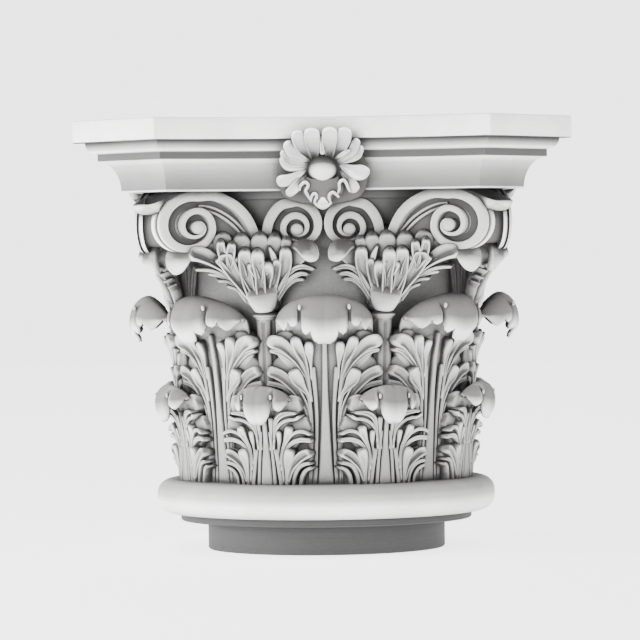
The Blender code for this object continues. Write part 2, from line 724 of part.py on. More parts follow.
def flower(collection):
    """The flower in the middle of the side of the abacus."""
    middle = TOP_Z - FLOWER_DROP

    def leaning(x, up, lift):
        return Vector((x, -(FLOWER_FACE + FLOWER_LEAN * up + lift), middle + up))

    stations = (
        (0.96, -FLOWER_DEPTH, 0.18),
        (1.00, 0.0, 0.18),
        (0.74, FLOWER_RISE, 0.06),
        (0.50, 0.3 * FLOWER_RISE, 0.02),
    )
    rings = []
    for share, rise, scallop in stations:
        ring = []
        for index in range(FLOWER_SIDES):
            turn = 2.0 * math.pi * index / FLOWER_SIDES
            lobe = abs(math.cos(0.5 * FLOWER_PETALS * turn))
            wide = FLOWER_HALF_WIDTH * share * (1.0 - scallop * (1.0 - lobe))
            lift = rise - 0.6 * FLOWER_RISE * (1.0 - lobe) * (share > 0.6)
            ring.append(leaning(wide * math.sin(turn), FLOWER_TALL * wide * math.cos(turn), lift))
        rings.append(ring)
    for share, rise in ((1.0, 0.2), (0.95, 0.6), (0.6, 1.0)):
        ring = []
        for index in range(FLOWER_SIDES):
            turn = 2.0 * math.pi * index / FLOWER_SIDES
            wide = share * FLOWER_BUTTON_RADIUS
            lift = rise * FLOWER_BUTTON_RISE
            ring.append(leaning(wide * math.sin(turn), wide * math.cos(turn), lift))
        rings.append(ring)
    return loft("flower", collection, rings)


def add_boolean(whole, other, operation):
    """Unite or cross a solid with another, which stays as a hidden guide.

    The manifold solver is used because the leaves and scrolls cross one another so often that
    the exact one loses the solid.
    """
    other.hide_render = True
    other.display_type = "WIRE"
    joint = whole.modifiers.new(operation.lower() + "_" + other.name, "BOOLEAN")
    joint.operation = operation
    joint.solver = "MANIFOLD"
    joint.object = other


def wedge(collection):
    """A wedge a little wider than the eighth that is modelled."""
    outline = [(0.0, 0.1 * WEDGE_OVERSHOOT)]
    for angle in (-WEDGE_MARGIN, 0.5 * CORNER_ANGLE, CORNER_ANGLE + WEDGE_MARGIN):
        rim = polar(angle, 2.0 * ABACUS_HALF_WIDTH, 0.0)
        outline.append((rim.x, rim.y))

    def place(x, y, share):
        return Vector((x, y, -WEDGE_OVERSHOOT + share * (TOP_Z + 2.0 * WEDGE_OVERSHOOT)))

    return plate("wedge", collection, outline, place)


def mirror_eighth(whole, guides):
    """Keep the eighth from the middle of the front to the right corner, and mirror it round."""
    across = bpy.data.objects.new("corner_plane", None)
    across.rotation_euler = (0.0, 0.0, math.pi + CORNER_ANGLE)
    guides.objects.link(across)
    diagonal = whole.modifiers.new("over_the_corner", "MIRROR")
    diagonal.mirror_object = across
    diagonal.use_axis = (True, False, False)
    diagonal.use_bisect_axis = (True, False, False)
    faces = whole.modifiers.new("over_the_faces", "MIRROR")
    faces.use_axis = (True, True, False)
    faces.use_bisect_axis = (True, True, False)
    faces.use_bisect_flip_axis = (False, True, False)
    for mirror in (diagonal, faces):
        mirror.bisect_threshold = MIRROR_GRIP
        mirror.merge_threshold = MIRROR_GRIP


def carve(first, others, guides, grain, share):
    """Unite carved pieces into one skin over the bell, and keep a share of its faces."""
    for piece in others:
        add_boolean(first, piece, "UNION")
    add_boolean(first, wedge(guides), "INTERSECT")
    add_boolean(first, bell_inside(guides), "DIFFERENCE")
    skin = first.modifiers.new("skin", "REMESH")
    skin.mode = "VOXEL"
    skin.voxel_size = grain
    first.modifiers.new("triangles", "TRIANGULATE")
    simple = first.modifiers.new("simple", "DECIMATE")
    simple.ratio = share
    return first


def main():
    clear_scene()
    scene = bpy.context.scene
    collection = bpy.data.collections.new("Corinthian capital")
    guides = bpy.data.collections.new("Shaping")
    scene.collection.children.link(collection)
    scene.collection.children.link(guides)
    leaves = carve(
        lower_leaf(guides),
        [
            upper_leaf("face_leaf", guides, 0.0),
            upper_leaf("corner_leaf", guides, CORNER_ANGLE),
            stalk(guides),
            outer_calyx(guides),
            inner_calyx(guides),
            tongue(guides),
            flower(guides),
        ],
        guides,
        LEAVES_GRAIN,
        LEAVES_SHARE,
    )
    volute = corner_volute(guides)
    scrolls = carve(volute[0], volute[1:] + helix(guides), guides, SCROLLS_GRAIN, SCROLLS_SHARE)
    capital = turned_core(collection)
    for part in (abacus(guides), leaves, scrolls):
        add_boolean(capital, part, "UNION")
    mirror_eighth(capital, guides)
    capital.data.materials.append(plaster())


main()
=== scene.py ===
# %% [markdown]
# # A Corinthian capital in white plaster
# The object is one casting: a neck that plugs into the column, a round moulding, a bell
# wrapped in two rows of acanthus leaves, stalks that open into scrolls, and a moulded slab
# with four hollow sides. Each part of the carving is made here as its own piece, in metres,
# standing exactly where the solid model has it.

import math

import bpy
from mathutils import Matrix, Vector


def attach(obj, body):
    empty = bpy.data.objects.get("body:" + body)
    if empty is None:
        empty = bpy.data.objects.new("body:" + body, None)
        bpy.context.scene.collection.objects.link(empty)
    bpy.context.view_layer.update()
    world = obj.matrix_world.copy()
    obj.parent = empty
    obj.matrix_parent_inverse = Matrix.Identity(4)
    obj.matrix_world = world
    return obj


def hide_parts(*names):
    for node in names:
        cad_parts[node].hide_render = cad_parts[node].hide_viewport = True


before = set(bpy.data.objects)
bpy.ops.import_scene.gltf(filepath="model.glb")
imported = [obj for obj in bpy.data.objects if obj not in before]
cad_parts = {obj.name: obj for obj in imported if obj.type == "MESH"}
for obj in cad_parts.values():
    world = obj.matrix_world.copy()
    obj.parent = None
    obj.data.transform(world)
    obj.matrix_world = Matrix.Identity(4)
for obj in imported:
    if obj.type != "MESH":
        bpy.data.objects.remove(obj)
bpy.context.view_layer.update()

# %% [markdown]
# ## Small helpers
# Sizes are written in millimetres, as they would be taken off the real casting, and turned
# into metres when the mesh is made. A curve is given by a few points, with a smooth line
# drawn through them.

# %% Helpers
MM = 0.001


def only(piece):
    """Select this object and nothing else."""
    bpy.ops.object.select_all(action="DESELECT")
    piece.select_set(True)
    bpy.context.view_layer.objects.active = piece


def clamp(value):
    """The value, kept between 0 and 1."""
    return min(1.0, max(0.0, value))


def between(keys, place):
    """The value at a place, in straight lines between (place, value) pairs."""
    if place <= keys[0][0]:
        return keys[0][1]
    for (start, low), (end, high) in zip(keys, keys[1:]):
        if place <= end:
            return low + (high - low) * (place - start) / (end - start)
    return keys[-1][1]


def smooth_point(points, place):
    """A point on the smooth curve through some points, at a place from 0 to 1."""
    last = len(points) - 1
    span = min(last - 1, int(place * last))
    share = place * last - span
    here = [Vector(points[min(last, max(0, span + step))]) for step in (-1, 0, 1, 2)]
    if span == 0:
        here[0] = 2.0 * here[1] - here[2]
    if span == last - 1:
        here[3] = 2.0 * here[2] - here[1]
    before, start, end, after = here
    return 0.5 * (
        2.0 * start
        + (end - before) * share
        + (2.0 * before - 5.0 * start + 4.0 * end - after) * share**2
        + (3.0 * start - before - 3.0 * end + after) * share**3
    )


def smooth_value(values, place):
    """A number on the smooth curve through some numbers, at a place from 0 to 1."""
    return smooth_point([(value, 0.0, 0.0) for value in values], place).x


def make_piece(name, points, faces):
    """An object from points in millimetres and faces, smooth, with its faces outwards."""
    mesh = bpy.data.meshes.new(name)
    mesh.from_pydata([tuple(point * MM for point in point) for point in points], [], faces)
    piece = bpy.data.objects.new(name, mesh)
    bpy.context.collection.objects.link(piece)
    only(piece)
    bpy.ops.object.mode_set(mode="EDIT")
    bpy.ops.mesh.select_all(action="SELECT")
    bpy.ops.mesh.normals_make_consistent(inside=False)
    bpy.ops.object.mode_set(mode="OBJECT")
    bpy.ops.object.shade_smooth()
    return piece


def skin(rows, sides):
    """The faces that join rows of points, when each row is a closed ring."""
    faces = []
    for row in range(0, (rows - 1) * sides, sides):
        for side in range(sides):
            after = (side + 1) % sides
            faces.append((row + side, row + after, row + sides + after, row + sides + side))
    return faces


def count(piece):
    """How many triangles a piece has."""
    piece.data.calc_loop_triangles()
    return len(piece.data.loop_triangles)


# %% [markdown]
# ## Neck, torus and bell
# On the casting this is one turned core: the plug that sits in the shaft, a small shoulder,
# the fat torus and the bell behind the leaves. A lathe makes it, and so does this cell: a
# circle is extruded upwards step by step, and scaled to the radius of each step. A turned
# profile is quick to change, because each line is just a radius and a height.

# %% Turned core
PLUG_RADIUS, PLUG_TOP = 118.3, 29.1
SHOULDER_RADIUS, SHOULDER_TOP = 145.2, 36.7
TORUS_RADIUS, TORUS_TOP = 168.7, 70.3
BELL = ((70.3, 126.5), (197.4, 131.0), (296.2, 146.0), (343.7, 160.0))
ABACUS_FOOT, TOP = 352.7, 421.2
TURN_SIDES = 200


def bell_radius(height):
    return between(BELL, height)


# the profile, as radius and height
profile = [(PLUG_RADIUS - 1.2, 0.0), (PLUG_RADIUS, 1.2), (PLUG_RADIUS, PLUG_TOP)]
profile += [(SHOULDER_RADIUS - 1.0, PLUG_TOP), (SHOULDER_RADIUS, PLUG_TOP + 1.0)]
profile += [(SHOULDER_RADIUS, SHOULDER_TOP - 1.0), (SHOULDER_RADIUS - 1.0, SHOULDER_TOP)]
half_torus = 0.5 * (TORUS_TOP - SHOULDER_TOP)
for step in range(1, 24):
    turn = math.radians(-90.0 + 180.0 * step / 24)
    rise = math.copysign(abs(math.sin(turn)) ** 0.8, math.sin(turn))
    reach = TORUS_RADIUS - half_torus * (1.0 - abs(math.cos(turn)) ** 0.9)
    profile.append((reach, SHOULDER_TOP + half_torus * (1.0 + rise)))
profile += [(TORUS_RADIUS - half_torus, TORUS_TOP), (bell_radius(TORUS_TOP), TORUS_TOP + 0.5)]
for step in range(1, 30):
    height = TORUS_TOP + (BELL[-1][0] - TORUS_TOP) * step / 29
    profile.append((bell_radius(height), height))
profile += [(162.5, 345.5), (163.0, 348.0), (162.5, 354.0)]

bpy.ops.mesh.primitive_circle_add(vertices=TURN_SIDES, radius=profile[0][0] * MM, fill_type="NGON")
core = bpy.context.object
core.name = "turned_core"
bpy.ops.object.mode_set(mode="EDIT")
bpy.ops.mesh.select_all(action="SELECT")
radius, height = profile[0]
for next_radius, next_height in profile[1:]:
    bpy.ops.mesh.extrude_region_move(
        TRANSFORM_OT_translate={"value": (0.0, 0.0, (next_height - height) * MM)}
    )
    share = next_radius / radius
    bpy.ops.transform.resize(value=(share, share, 1.0), center_override=(0.0, 0.0, next_height * MM))
    radius, height = next_radius, next_height
bpy.ops.mesh.select_all(action="SELECT")
bpy.ops.mesh.normals_make_consistent(inside=False)
bpy.ops.object.mode_set(mode="OBJECT")
bpy.ops.object.shade_smooth_by_angle(angle=math.radians(35.0))
print("core", count(core), [round(v * 1000) for v in core.dimensions])

# %% [markdown]
# ## The slab
# The abacus is square in plan, with its corners cut off and its four sides hollowed. A
# plasterer runs such a moulding with a template that keeps one profile all the way round, so
# the cell does the same: every line of the profile is the plan again, moved in by an exact
# distance, and the lines are joined into a skin. An inset tool drifts on a hollow side. The
# sharp edges are rubbed a little up and down along their length, as on a handled casting.

# %% Abacus
ABACUS_HALF = 238.5
CUT_CORNER = 115.2
SIDE_HOLLOW = 36.0
SIDE_STEPS = 44
CORNER_STEPS = 14

chord_half = ABACUS_HALF - CUT_CORNER * math.sin(math.radians(45.0))
arc_radius = (chord_half**2 + SIDE_HOLLOW**2) / (2.0 * SIDE_HOLLOW)
arc_middle = -ABACUS_HALF + SIDE_HOLLOW - arc_radius
corner_reach = (chord_half + ABACUS_HALF) / math.sqrt(2.0)


def abacus_line(inward):
    """One quarter of the plan, moved in: the front side and the corner after it."""
    radius = arc_radius + inward
    reach = corner_reach - inward
    # halve the turn until the arc meets the corner line, where x - y = reach * sqrt(2)
    low, high = 0.0, math.pi / 2.0
    for _ in range(50):
        turn = 0.5 * (low + high)
        x, y = radius * math.sin(turn), arc_middle + radius * math.cos(turn)
        if (x - y) / math.sqrt(2.0) < reach:
            low = turn
        else:
            high = turn
    line = []
    for step in range(SIDE_STEPS):
        turn = low * (2.0 * step / SIDE_STEPS - 1.0)
        line.append(Vector((radius * math.sin(turn), arc_middle + radius * math.cos(turn))))
    start = Vector((radius * math.sin(low), arc_middle + radius * math.cos(low)))
    finish = Vector((-start.y, -start.x))
    line += [start.lerp(finish, step / CORNER_STEPS) for step in range(CORNER_STEPS)]
    return line


# soft waves of odd lengths: how often round the plan, size in mm and where they start
WAVES = ((7.0, 0.20, 0.3), (13.0, 0.16, 1.9), (23.0, 0.13, 4.1), (41.0, 0.10, 0.7), (61.0, 0.07, 2.6))
# which levels are rubbed: the lower edge of the face, the small step and the foot
RUBBED = (
    (352.7, 0.0), (354.0, 0.9), (360.0, 0.2), (381.0, 0.2), (382.7, 1.0), (384.0, 0.6), (389.0, 0.5),
    (390.5, 0.3), (398.0, 0.3), (400.7, 1.6), (402.2, 1.6), (402.6, 0.0),
)


def wear(place, level):
    """How far an edge is rubbed up or down, in mm, at a place along its length."""
    return between(RUBBED, level) * sum(
        size * math.sin(2.0 * math.pi * often * place + start + 0.05 * level) for often, size, start in WAVES
    )


# %% Slab mouldings
FACE_FOOT, STEP_TOP, STEP_FOOT = 400.7, 389.7, 382.7
ROUND_INSET, STEP_INSET, CAVETTO_INSET = 9.5, 19.5, 18.8
# the profile, as the distance in from the face and the level
stations = [(1.2, TOP), (0.35, TOP - 0.35), (0.0, TOP - 1.2), (0.0, 402.2), (0.25, 401.2), (0.9, FACE_FOOT)]
stations.append((ROUND_INSET - 0.3, FACE_FOOT))
for angle in range(0, 91, 15):
    turn = math.radians(angle)
    stations.append((ROUND_INSET + 10.0 * (1.0 - math.cos(turn)), FACE_FOOT - 11.0 * math.sin(turn)))
stations += [(STEP_INSET, STEP_TOP - 3.0), (STEP_INSET, STEP_TOP - 6.4), (STEP_INSET + 0.6, STEP_FOOT)]
for angle in range(4, 91, 8):
    turn = math.radians(angle)
    stations.append((STEP_INSET + CAVETTO_INSET * math.sin(turn), STEP_FOOT - 30.0 * (1.0 - math.cos(turn))))
stations.append((STEP_INSET + CAVETTO_INSET, ABACUS_FOOT))

points = []
around = 4 * (SIDE_STEPS + CORNER_STEPS)
for inward, level in stations:
    quarter = abacus_line(inward)
    for index in range(around):
        side, spot = divmod(index, len(quarter))
        x, y = Matrix.Rotation(side * math.pi / 2.0, 2) @ quarter[spot]
        points.append((x, y, level + wear(index / around, level)))
faces = [tuple(range(around)), tuple(range(len(points) - around, len(points)))[::-1]]
abacus = make_piece("abacus", points, faces + skin(len(stations), around))
bpy.ops.object.shade_smooth_by_angle(angle=math.radians(30.0))
print("abacus", count(abacus), [round(v * 1000) for v in abacus.dimensions])

# %% [markdown]
# ## One strip of carving
# All the foliage is built from one kind of strip, as a carver cuts it with one gouge: it
# follows a line, swells and narrows, and is hollow between two rims that run round its tip.
# It is lofted from rings of points: the outside edge, the rim, the hollow and the rim again,
# closed underneath. A swept tube could not hold its rim at one width while the strip widens.

# %% Strip
RIM = 1.5


def strip(points, halves, high=4.5, hollow=2.6, sunk=6.0, facing=(0.0, 0.0, 1.0), steps=12, tip=1.0,
          thin=RIM, swell=0.0):
    """Points and faces of a strip along a line, in millimetres, with its rounded tip last.

    Halves are half its width along the line. It rises by high to its rims, is hollow between
    them, and is sunk into what it stands on. Facing is the way it looks, or several ways
    along the line. Thin is the width of its rims, and swell how much its middle rises
    towards the tip.
    """
    length = sum((Vector(b) - Vector(a)).length for a, b in zip(points, points[1:]))
    end_half = smooth_value(halves, 1.0)
    bend = 1.0 - min(0.45, tip * end_half / length)
    places = [(bend * step / steps, 1.0) for step in range(steps)]
    for step in range(7):
        turn = math.radians(86.0) * step / 6
        places.append((bend + (1.0 - bend) * math.sin(turn), math.cos(turn)))
    rings = []
    for place, share in places:
        here = smooth_point(points, place)
        along = smooth_point(points, min(1.0, place + 0.01)) - smooth_point(points, max(0.0, place - 0.01))
        along.normalize()
        out = smooth_point(facing, place) if isinstance(facing[0], tuple) else Vector(facing)
        out = (out - along * out.dot(along)).normalized()
        across = along.cross(out)
        half = max(0.15, smooth_value(halves, place)) * share
        rise = high * (0.35 + 0.65 * math.sqrt(share))
        rim = min(thin, 0.42 * half)
        # a narrow strip is less hollow, and a negative hollow is a rounded back
        depth = min(hollow, 0.8 * half) if hollow < 0.0 else hollow * clamp((half - 1.6) / 2.6)
        depth *= clamp((1.0 - place) * length / (1.5 * end_half) - 0.35)
        depth -= swell * share * max(0.0, place - 0.35) / 0.65
        top = [(half, 0.25 * rise), (half - 0.2 * rim, 0.8 * rise), (half - 0.85 * rim, rise)]
        top += [(half - 1.6 * rim, rise - 0.45 * depth), (0.5 * (half - 1.6 * rim), rise - 0.9 * depth)]
        line = [(-half * 0.8, -sunk)] + [(-x, z) for x, z in top]
        line += [(0.0, rise - depth)] + [(x, z) for x, z in reversed(top)] + [(half * 0.8, -sunk)]
        rings.append([here + across * x + out * z for x, z in line])
    sides = len(rings[0])
    found = [tuple(point) for ring in rings for point in ring]
    ends = [tuple(range(sides)), tuple(range(len(found) - sides, len(found)))[::-1]]
    return found, skin(len(rings), sides) + ends


def gather(shapes):
    """Several (points, faces) as one."""
    points, faces = [], []
    for more_points, more_faces in shapes:
        start = len(points)
        points += more_points
        faces += [tuple(start + index for index in face) for face in more_faces]
    return points, faces


def both_sides(shapes):
    """The shapes and their mirror images in the middle plane."""
    return shapes + [
        ([(-x, y, z) for x, y, z in points], [face[::-1] for face in faces]) for points, faces in shapes
    ]


def ball(middle, radii, rows=8, sides=12):
    """Points and faces of a small egg, such as a bead in a drilled eye."""
    points = []
    for row in range(rows + 1):
        tilt = math.pi * (row + 0.02) / (rows + 0.04)
        for side in range(sides):
            turn = 2.0 * math.pi * side / sides
            points.append((
                middle[0] + radii[0] * math.sin(tilt) * math.cos(turn),
                middle[1] + radii[1] * math.cos(tilt),
                middle[2] + radii[2] * math.sin(tilt) * math.sin(turn),
            ))
    ends = [tuple(range(sides))[::-1], tuple(range(rows * sides, (rows + 1) * sides))]
    return points, ends + skin(rows + 1, sides)


# %% [markdown]
# ## Wrapping a flat drawing round the bell
# A leaf is drawn flat, as a modeller presses it in clay on a board: x across, y the height on
# the capital and z the relief. Then it is wrapped: x becomes a turn round the axis, and z is
# added to the radius of the leaf's own ground, which leans outwards a little as it rises.

# %% Wrap
UPPER_GROUND = ((70.0, 136.0), (150.0, 143.5), (195.0, 148.5), (215.0, 153.0), (260.0, 158.0))
LOWER_GROUND = ((70.0, 145.0), (110.0, 147.0), (140.0, 151.0), (170.0, 155.0))
QUARTERS = (0, 90, 180, 270)


def wrap(shape, ground, angle):
    """Wrap a flat drawing round the axis, with its middle line at an angle from the front."""
    points, faces = shape
    placed = []
    for x, y, z in points:
        radius = between(ground, y) + z
        turn = math.radians(angle) + x / radius
        placed.append((radius * math.sin(turn), -radius * math.cos(turn), y))
    return placed, faces


def copies(shape, angles=QUARTERS):
    """The shape turned about the axis, once for each angle."""
    points, faces = shape
    shapes = []
    for angle in angles:
        cosine, sine = math.cos(math.radians(angle)), math.sin(math.radians(angle))
        shapes.append(([(x * cosine - y * sine, x * sine + y * cosine, z) for x, y, z in points], faces))
    return gather(shapes)


# %% [markdown]
# ## The overturned tip
# Each leaf ends in a hood that rolls forward and down. It is one smooth sheet, drawn column by
# column: up from the stem, over the top, out and down. The scalloped edge is cut last, as a
# carver does, with the middle lobe lowest, so the sheet above it has no creases. A groove
# starts at a small drilled eye and parts the middle lobe from the ones beside it.

# %% Sheet
HOOD_THICK = 3.0


def sheet_faces(rows, columns):
    """The faces of a sheet: a grid of points on top and one beneath, closed round the edge."""
    wide, size = columns + 1, (columns + 1) * (rows + 1)
    faces = []
    for row in range(rows):
        for a in range(row * wide, row * wide + columns):
            faces.append((a, a + 1, a + wide + 1, a + wide))
            faces.append((size + a, size + a + wide, size + a + wide + 1, size + a + 1))
    edge = list(range(wide)) + [row * wide + columns for row in range(1, rows + 1)]
    edge += [rows * wide + column for column in range(columns - 1, -1, -1)]
    edge += [row * wide for row in range(rows - 1, 0, -1)]
    return faces + [(a, a + size, b + size, b) for a, b in zip(edge, edge[1:] + edge[:1])]


def spread(edge, gap):
    """Columns for a hood: the places of its edge on both sides, with more between them."""
    places = [edge[-1][0]]
    for (start, _), (end, _) in zip(edge, edge[1:]):
        parts = max(1, round((end - start) / gap))
        places += [start + (end - start) * part / parts for part in range(parts)]
    return sorted({-place for place in places} | set(places))


# %% Hood
def fall(away, half, top, drop, hang, start, reach, back):
    """The line of one column, out and up, at a distance away from the middle."""
    share = math.sqrt(max(0.0, 1.0 - (away / half) ** 2))
    crown = top - drop * (1.0 - share)
    low = between(hang, away)
    out = back + (reach - back) * share**1.3
    line = (
        (0.0, min(start, low - 2.0)), (0.03, start + 0.45 * (crown - start)),
        (0.16, start + 0.82 * (crown - start)), (0.42, crown), (0.72, crown - 0.10 * (crown - low)),
        (0.92, crown - 0.34 * (crown - low)), (1.00, crown - 0.62 * (crown - low)),
        (0.96, low + 0.18 * (crown - low)), (0.82, low),
    )
    return [(part * out, height, 0.0) for part, height in line]


def hood(edge, gap, rows, groove, bulge, **form):
    """Points and faces of a hood on a flat drawing. It falls to a plain line and is trimmed to edge.

    A groove is (place, depth, width, where it begins), and bulge is how much the lobes
    swell, on the inner and the outer side of it.
    """
    centre, deep, wide, begins = groove
    lobes = ((0.0, centre, bulge[0]), (centre, edge[-1][0], bulge[1]))
    lifted, under = [], []
    for x in spread(edge, gap):
        away = abs(x)
        line, trim = fall(away, **form), between(edge, away)
        # how far along its line the column goes before it meets the trimmed edge
        tries = [0.01 * step for step in range(45, 101)]
        last = next((place for place in tries if smooth_point(line, place).y <= trim), 1.0)
        column = [smooth_point(line, last * row / rows) for row in range(rows + 1)]
        for row, spot in enumerate(column):
            place = last * row / rows
            lift = -deep * math.exp(-(((away - centre) / wide) ** 2)) * clamp((place - begins) / 0.12)
            for low_x, high_x, swell in lobes:
                if low_x <= away <= high_x:
                    across = (away - 0.5 * (low_x + high_x)) / (0.5 * (high_x - low_x))
                    lift += swell * (1.0 - across**2) * clamp((place - 0.3) / 0.4)
            ahead = column[min(rows, row + 1)] - column[max(0, row - 1)]
            outward = Vector((0.0, ahead.x, -ahead.y)).normalized()
            if row / rows < 0.25:
                outward = Vector((0.0, 0.0, 1.0)).lerp(outward, row / rows / 0.25).normalized()
            here = Vector((x, spot.y, spot.x))
            lifted.append(tuple(here + outward * lift))
            under.append(tuple(here + outward * (lift - HOOD_THICK)))
    return lifted + under, sheet_faces(len(lifted) // (rows + 1) - 1, rows)


# %% [markdown]
# ## Upper leaves
# The upper leaf rises from the torus between two lower ones. Its middle rib widens to the
# foot, with a long groove and a thin rib on each side. Two tiers of leaflets fan from the
# stem, each a hollow finger with bright rims and a plainer tongue inside it. Four leaves
# stand under the flowers and four under the corners.

# %% Upper leaf
UPPER_EDGE = (
    (0.0, 207.0), (6.0, 207.6), (10.0, 210.5), (12.4, 215.5), (13.2, 220.7), (14.2, 218.0), (17.5, 216.0),
    (20.5, 217.6), (22.4, 222.0), (23.6, 229.5), (24.8, 227.0), (27.0, 225.0), (30.0, 223.8), (33.0, 225.4),
    (35.0, 228.4), (36.4, 224.0), (39.0, 221.0), (42.0, 221.5), (45.0, 226.0), (47.0, 230.0),
)
UPPER_HANG = ((0.0, 206.5), (6.0, 207.0), (17.5, 214.0), (30.0, 220.0), (39.0, 219.5), (47.0, 229.0))


def back(points, halves, sunk):
    """A rounded back, which fills the leaf behind its fingers."""
    return strip(points, halves, high=4.0, hollow=-1.5, sunk=sunk)


upper_side = [
    # thin rib beside the middle one
    strip([(10.5, 68, 0), (9.3, 100, 0), (8.3, 132, 0), (9.0, 152, 0), (10.6, 171, 0), (12, 184, 0.5)],
          [2.2, 1.9, 1.8, 2.0, 2.6, 2.8], high=4.0, hollow=0.0),
    # lower tier: broad tongue, hollow finger, thin finger
    strip([(15.5, 68, 0), (13.6, 110, 0), (13.6, 135, 0), (16, 155, 0.5), (21, 163, 1.5), (27, 172, 3),
           (31.5, 182, 5)],
          [2.2, 1.8, 1.8, 2.0, 3.4, 6.6, 5.4], high=4.5, hollow=1.6, steps=16),
    strip([(14.0, 112, 0), (17, 140, 0), (24, 155, 0.5), (33, 167, 1.5), (43, 175.5, 3), (57, 181, 5)],
          [1.4, 2.6, 4.0, 5.2, 5.6, 5.4], high=5.0, hollow=3.6, steps=16),
    strip([(15.0, 100, 0), (17.5, 134, 0), (22, 146, 0), (30, 156.5, 0), (41, 165, 1), (57.5, 168.5, 3)],
          [1.2, 1.6, 2.2, 2.6, 2.8, 2.8], high=4.0, hollow=1.6, steps=16, tip=0.6),
    strip([(20.0, 110, -2), (25, 134, -2), (33, 147, -2), (44, 155, -1), (54, 157, 0)],
          [2.0, 3.0, 3.6, 3.6, 3.0], high=2.5, hollow=1.2, steps=14),
    # upper tier: hollow finger with its thin twin, a middle finger and an inner tongue
    strip([(13.5, 150, 0), (16, 170, 0), (20, 178, 0.5), (26, 188.5, 1), (33, 197.5, 2), (42, 206, 4),
           (57, 209.5, 7)],
          [1.2, 1.6, 2.4, 3.6, 5.0, 6.8, 6.6], high=5.0, hollow=4.0, steps=16),
    strip([(14.0, 140, 0), (15.5, 161, 0), (19, 174, 0), (24, 181.5, 0), (34, 191.5, 0.5), (43, 197.5, 2),
           (54, 200, 4)],
          [1.2, 1.4, 1.6, 2.0, 2.4, 2.6, 2.0], high=4.0, hollow=1.4, steps=16, tip=1.4),
    strip([(13.0, 150, 0), (14.8, 166, 0), (16.5, 177, 0), (19.5, 188, 1), (24.5, 200, 3), (30, 213.5, 6)],
          [1.2, 1.4, 1.8, 3.2, 5.4, 5.4], high=4.5, hollow=3.0, steps=16),
    strip([(13.0, 172, 0), (13.4, 184.5, 1), (14.2, 193, 2), (15, 200, 3.5), (15, 209, 6)],
          [1.0, 1.4, 2.8, 4.4, 4.2], high=4.0, hollow=0.8, steps=10),
    # the smooth back of the leaf behind the fingers
    back([(12, 120, -6), (24, 150, -5), (38, 178, -4), (50, 190, -3)], [9.0, 11.0, 12.5, 11.0], 10.0),
    back([(12, 150, -6), (22, 178, -4), (34, 200, -2), (46, 216, 0)], [8.0, 10.0, 13.0, 11.0], 10.0),
]
upper_middle = [
    strip([(0, 68, 0), (0, 100, 0), (0, 130, 0), (0, 170, 0), (0, 216, 1)],
          [8.2, 6.0, 4.4, 2.9, 2.5], high=4.2, hollow=0.0, steps=16),
    strip([(0, 66, -4), (0, 120, -4), (0, 170, -4), (0, 216, -3)],
          [22.0, 20.0, 19.0, 18.0], high=4.0, hollow=0.5, sunk=12.0),
]
upper_hood = hood(
    UPPER_EDGE, gap=0.8, rows=24, groove=(23.6, 4.6, 1.5, 0.52), bulge=(1.2, 2.6),
    half=49.0, top=253.0, drop=31.0, hang=UPPER_HANG, start=205.0, reach=40.0, back=6.0,
)
upper_eye = ball((23.6, 241.5, 33.6), (1.6, 2.6, 1.8))
upper = gather(upper_middle + [upper_hood] + both_sides(upper_side) + both_sides([upper_eye]))
print("upper leaf faces", len(upper[1]))
face_leaves = make_piece("face_leaves", *copies(wrap(upper, UPPER_GROUND, 0.0)))
corner_leaves = make_piece("corner_leaves", *copies(wrap(upper, UPPER_GROUND, 45.0)))
print("face leaves", count(face_leaves), "corner leaves", count(corner_leaves))

# %% [markdown]
# ## Lower leaves
# Eight smaller leaves stand in front, half a step round from the upper ones. They carry four
# tiers of leaflets on each side and one rounder hood.

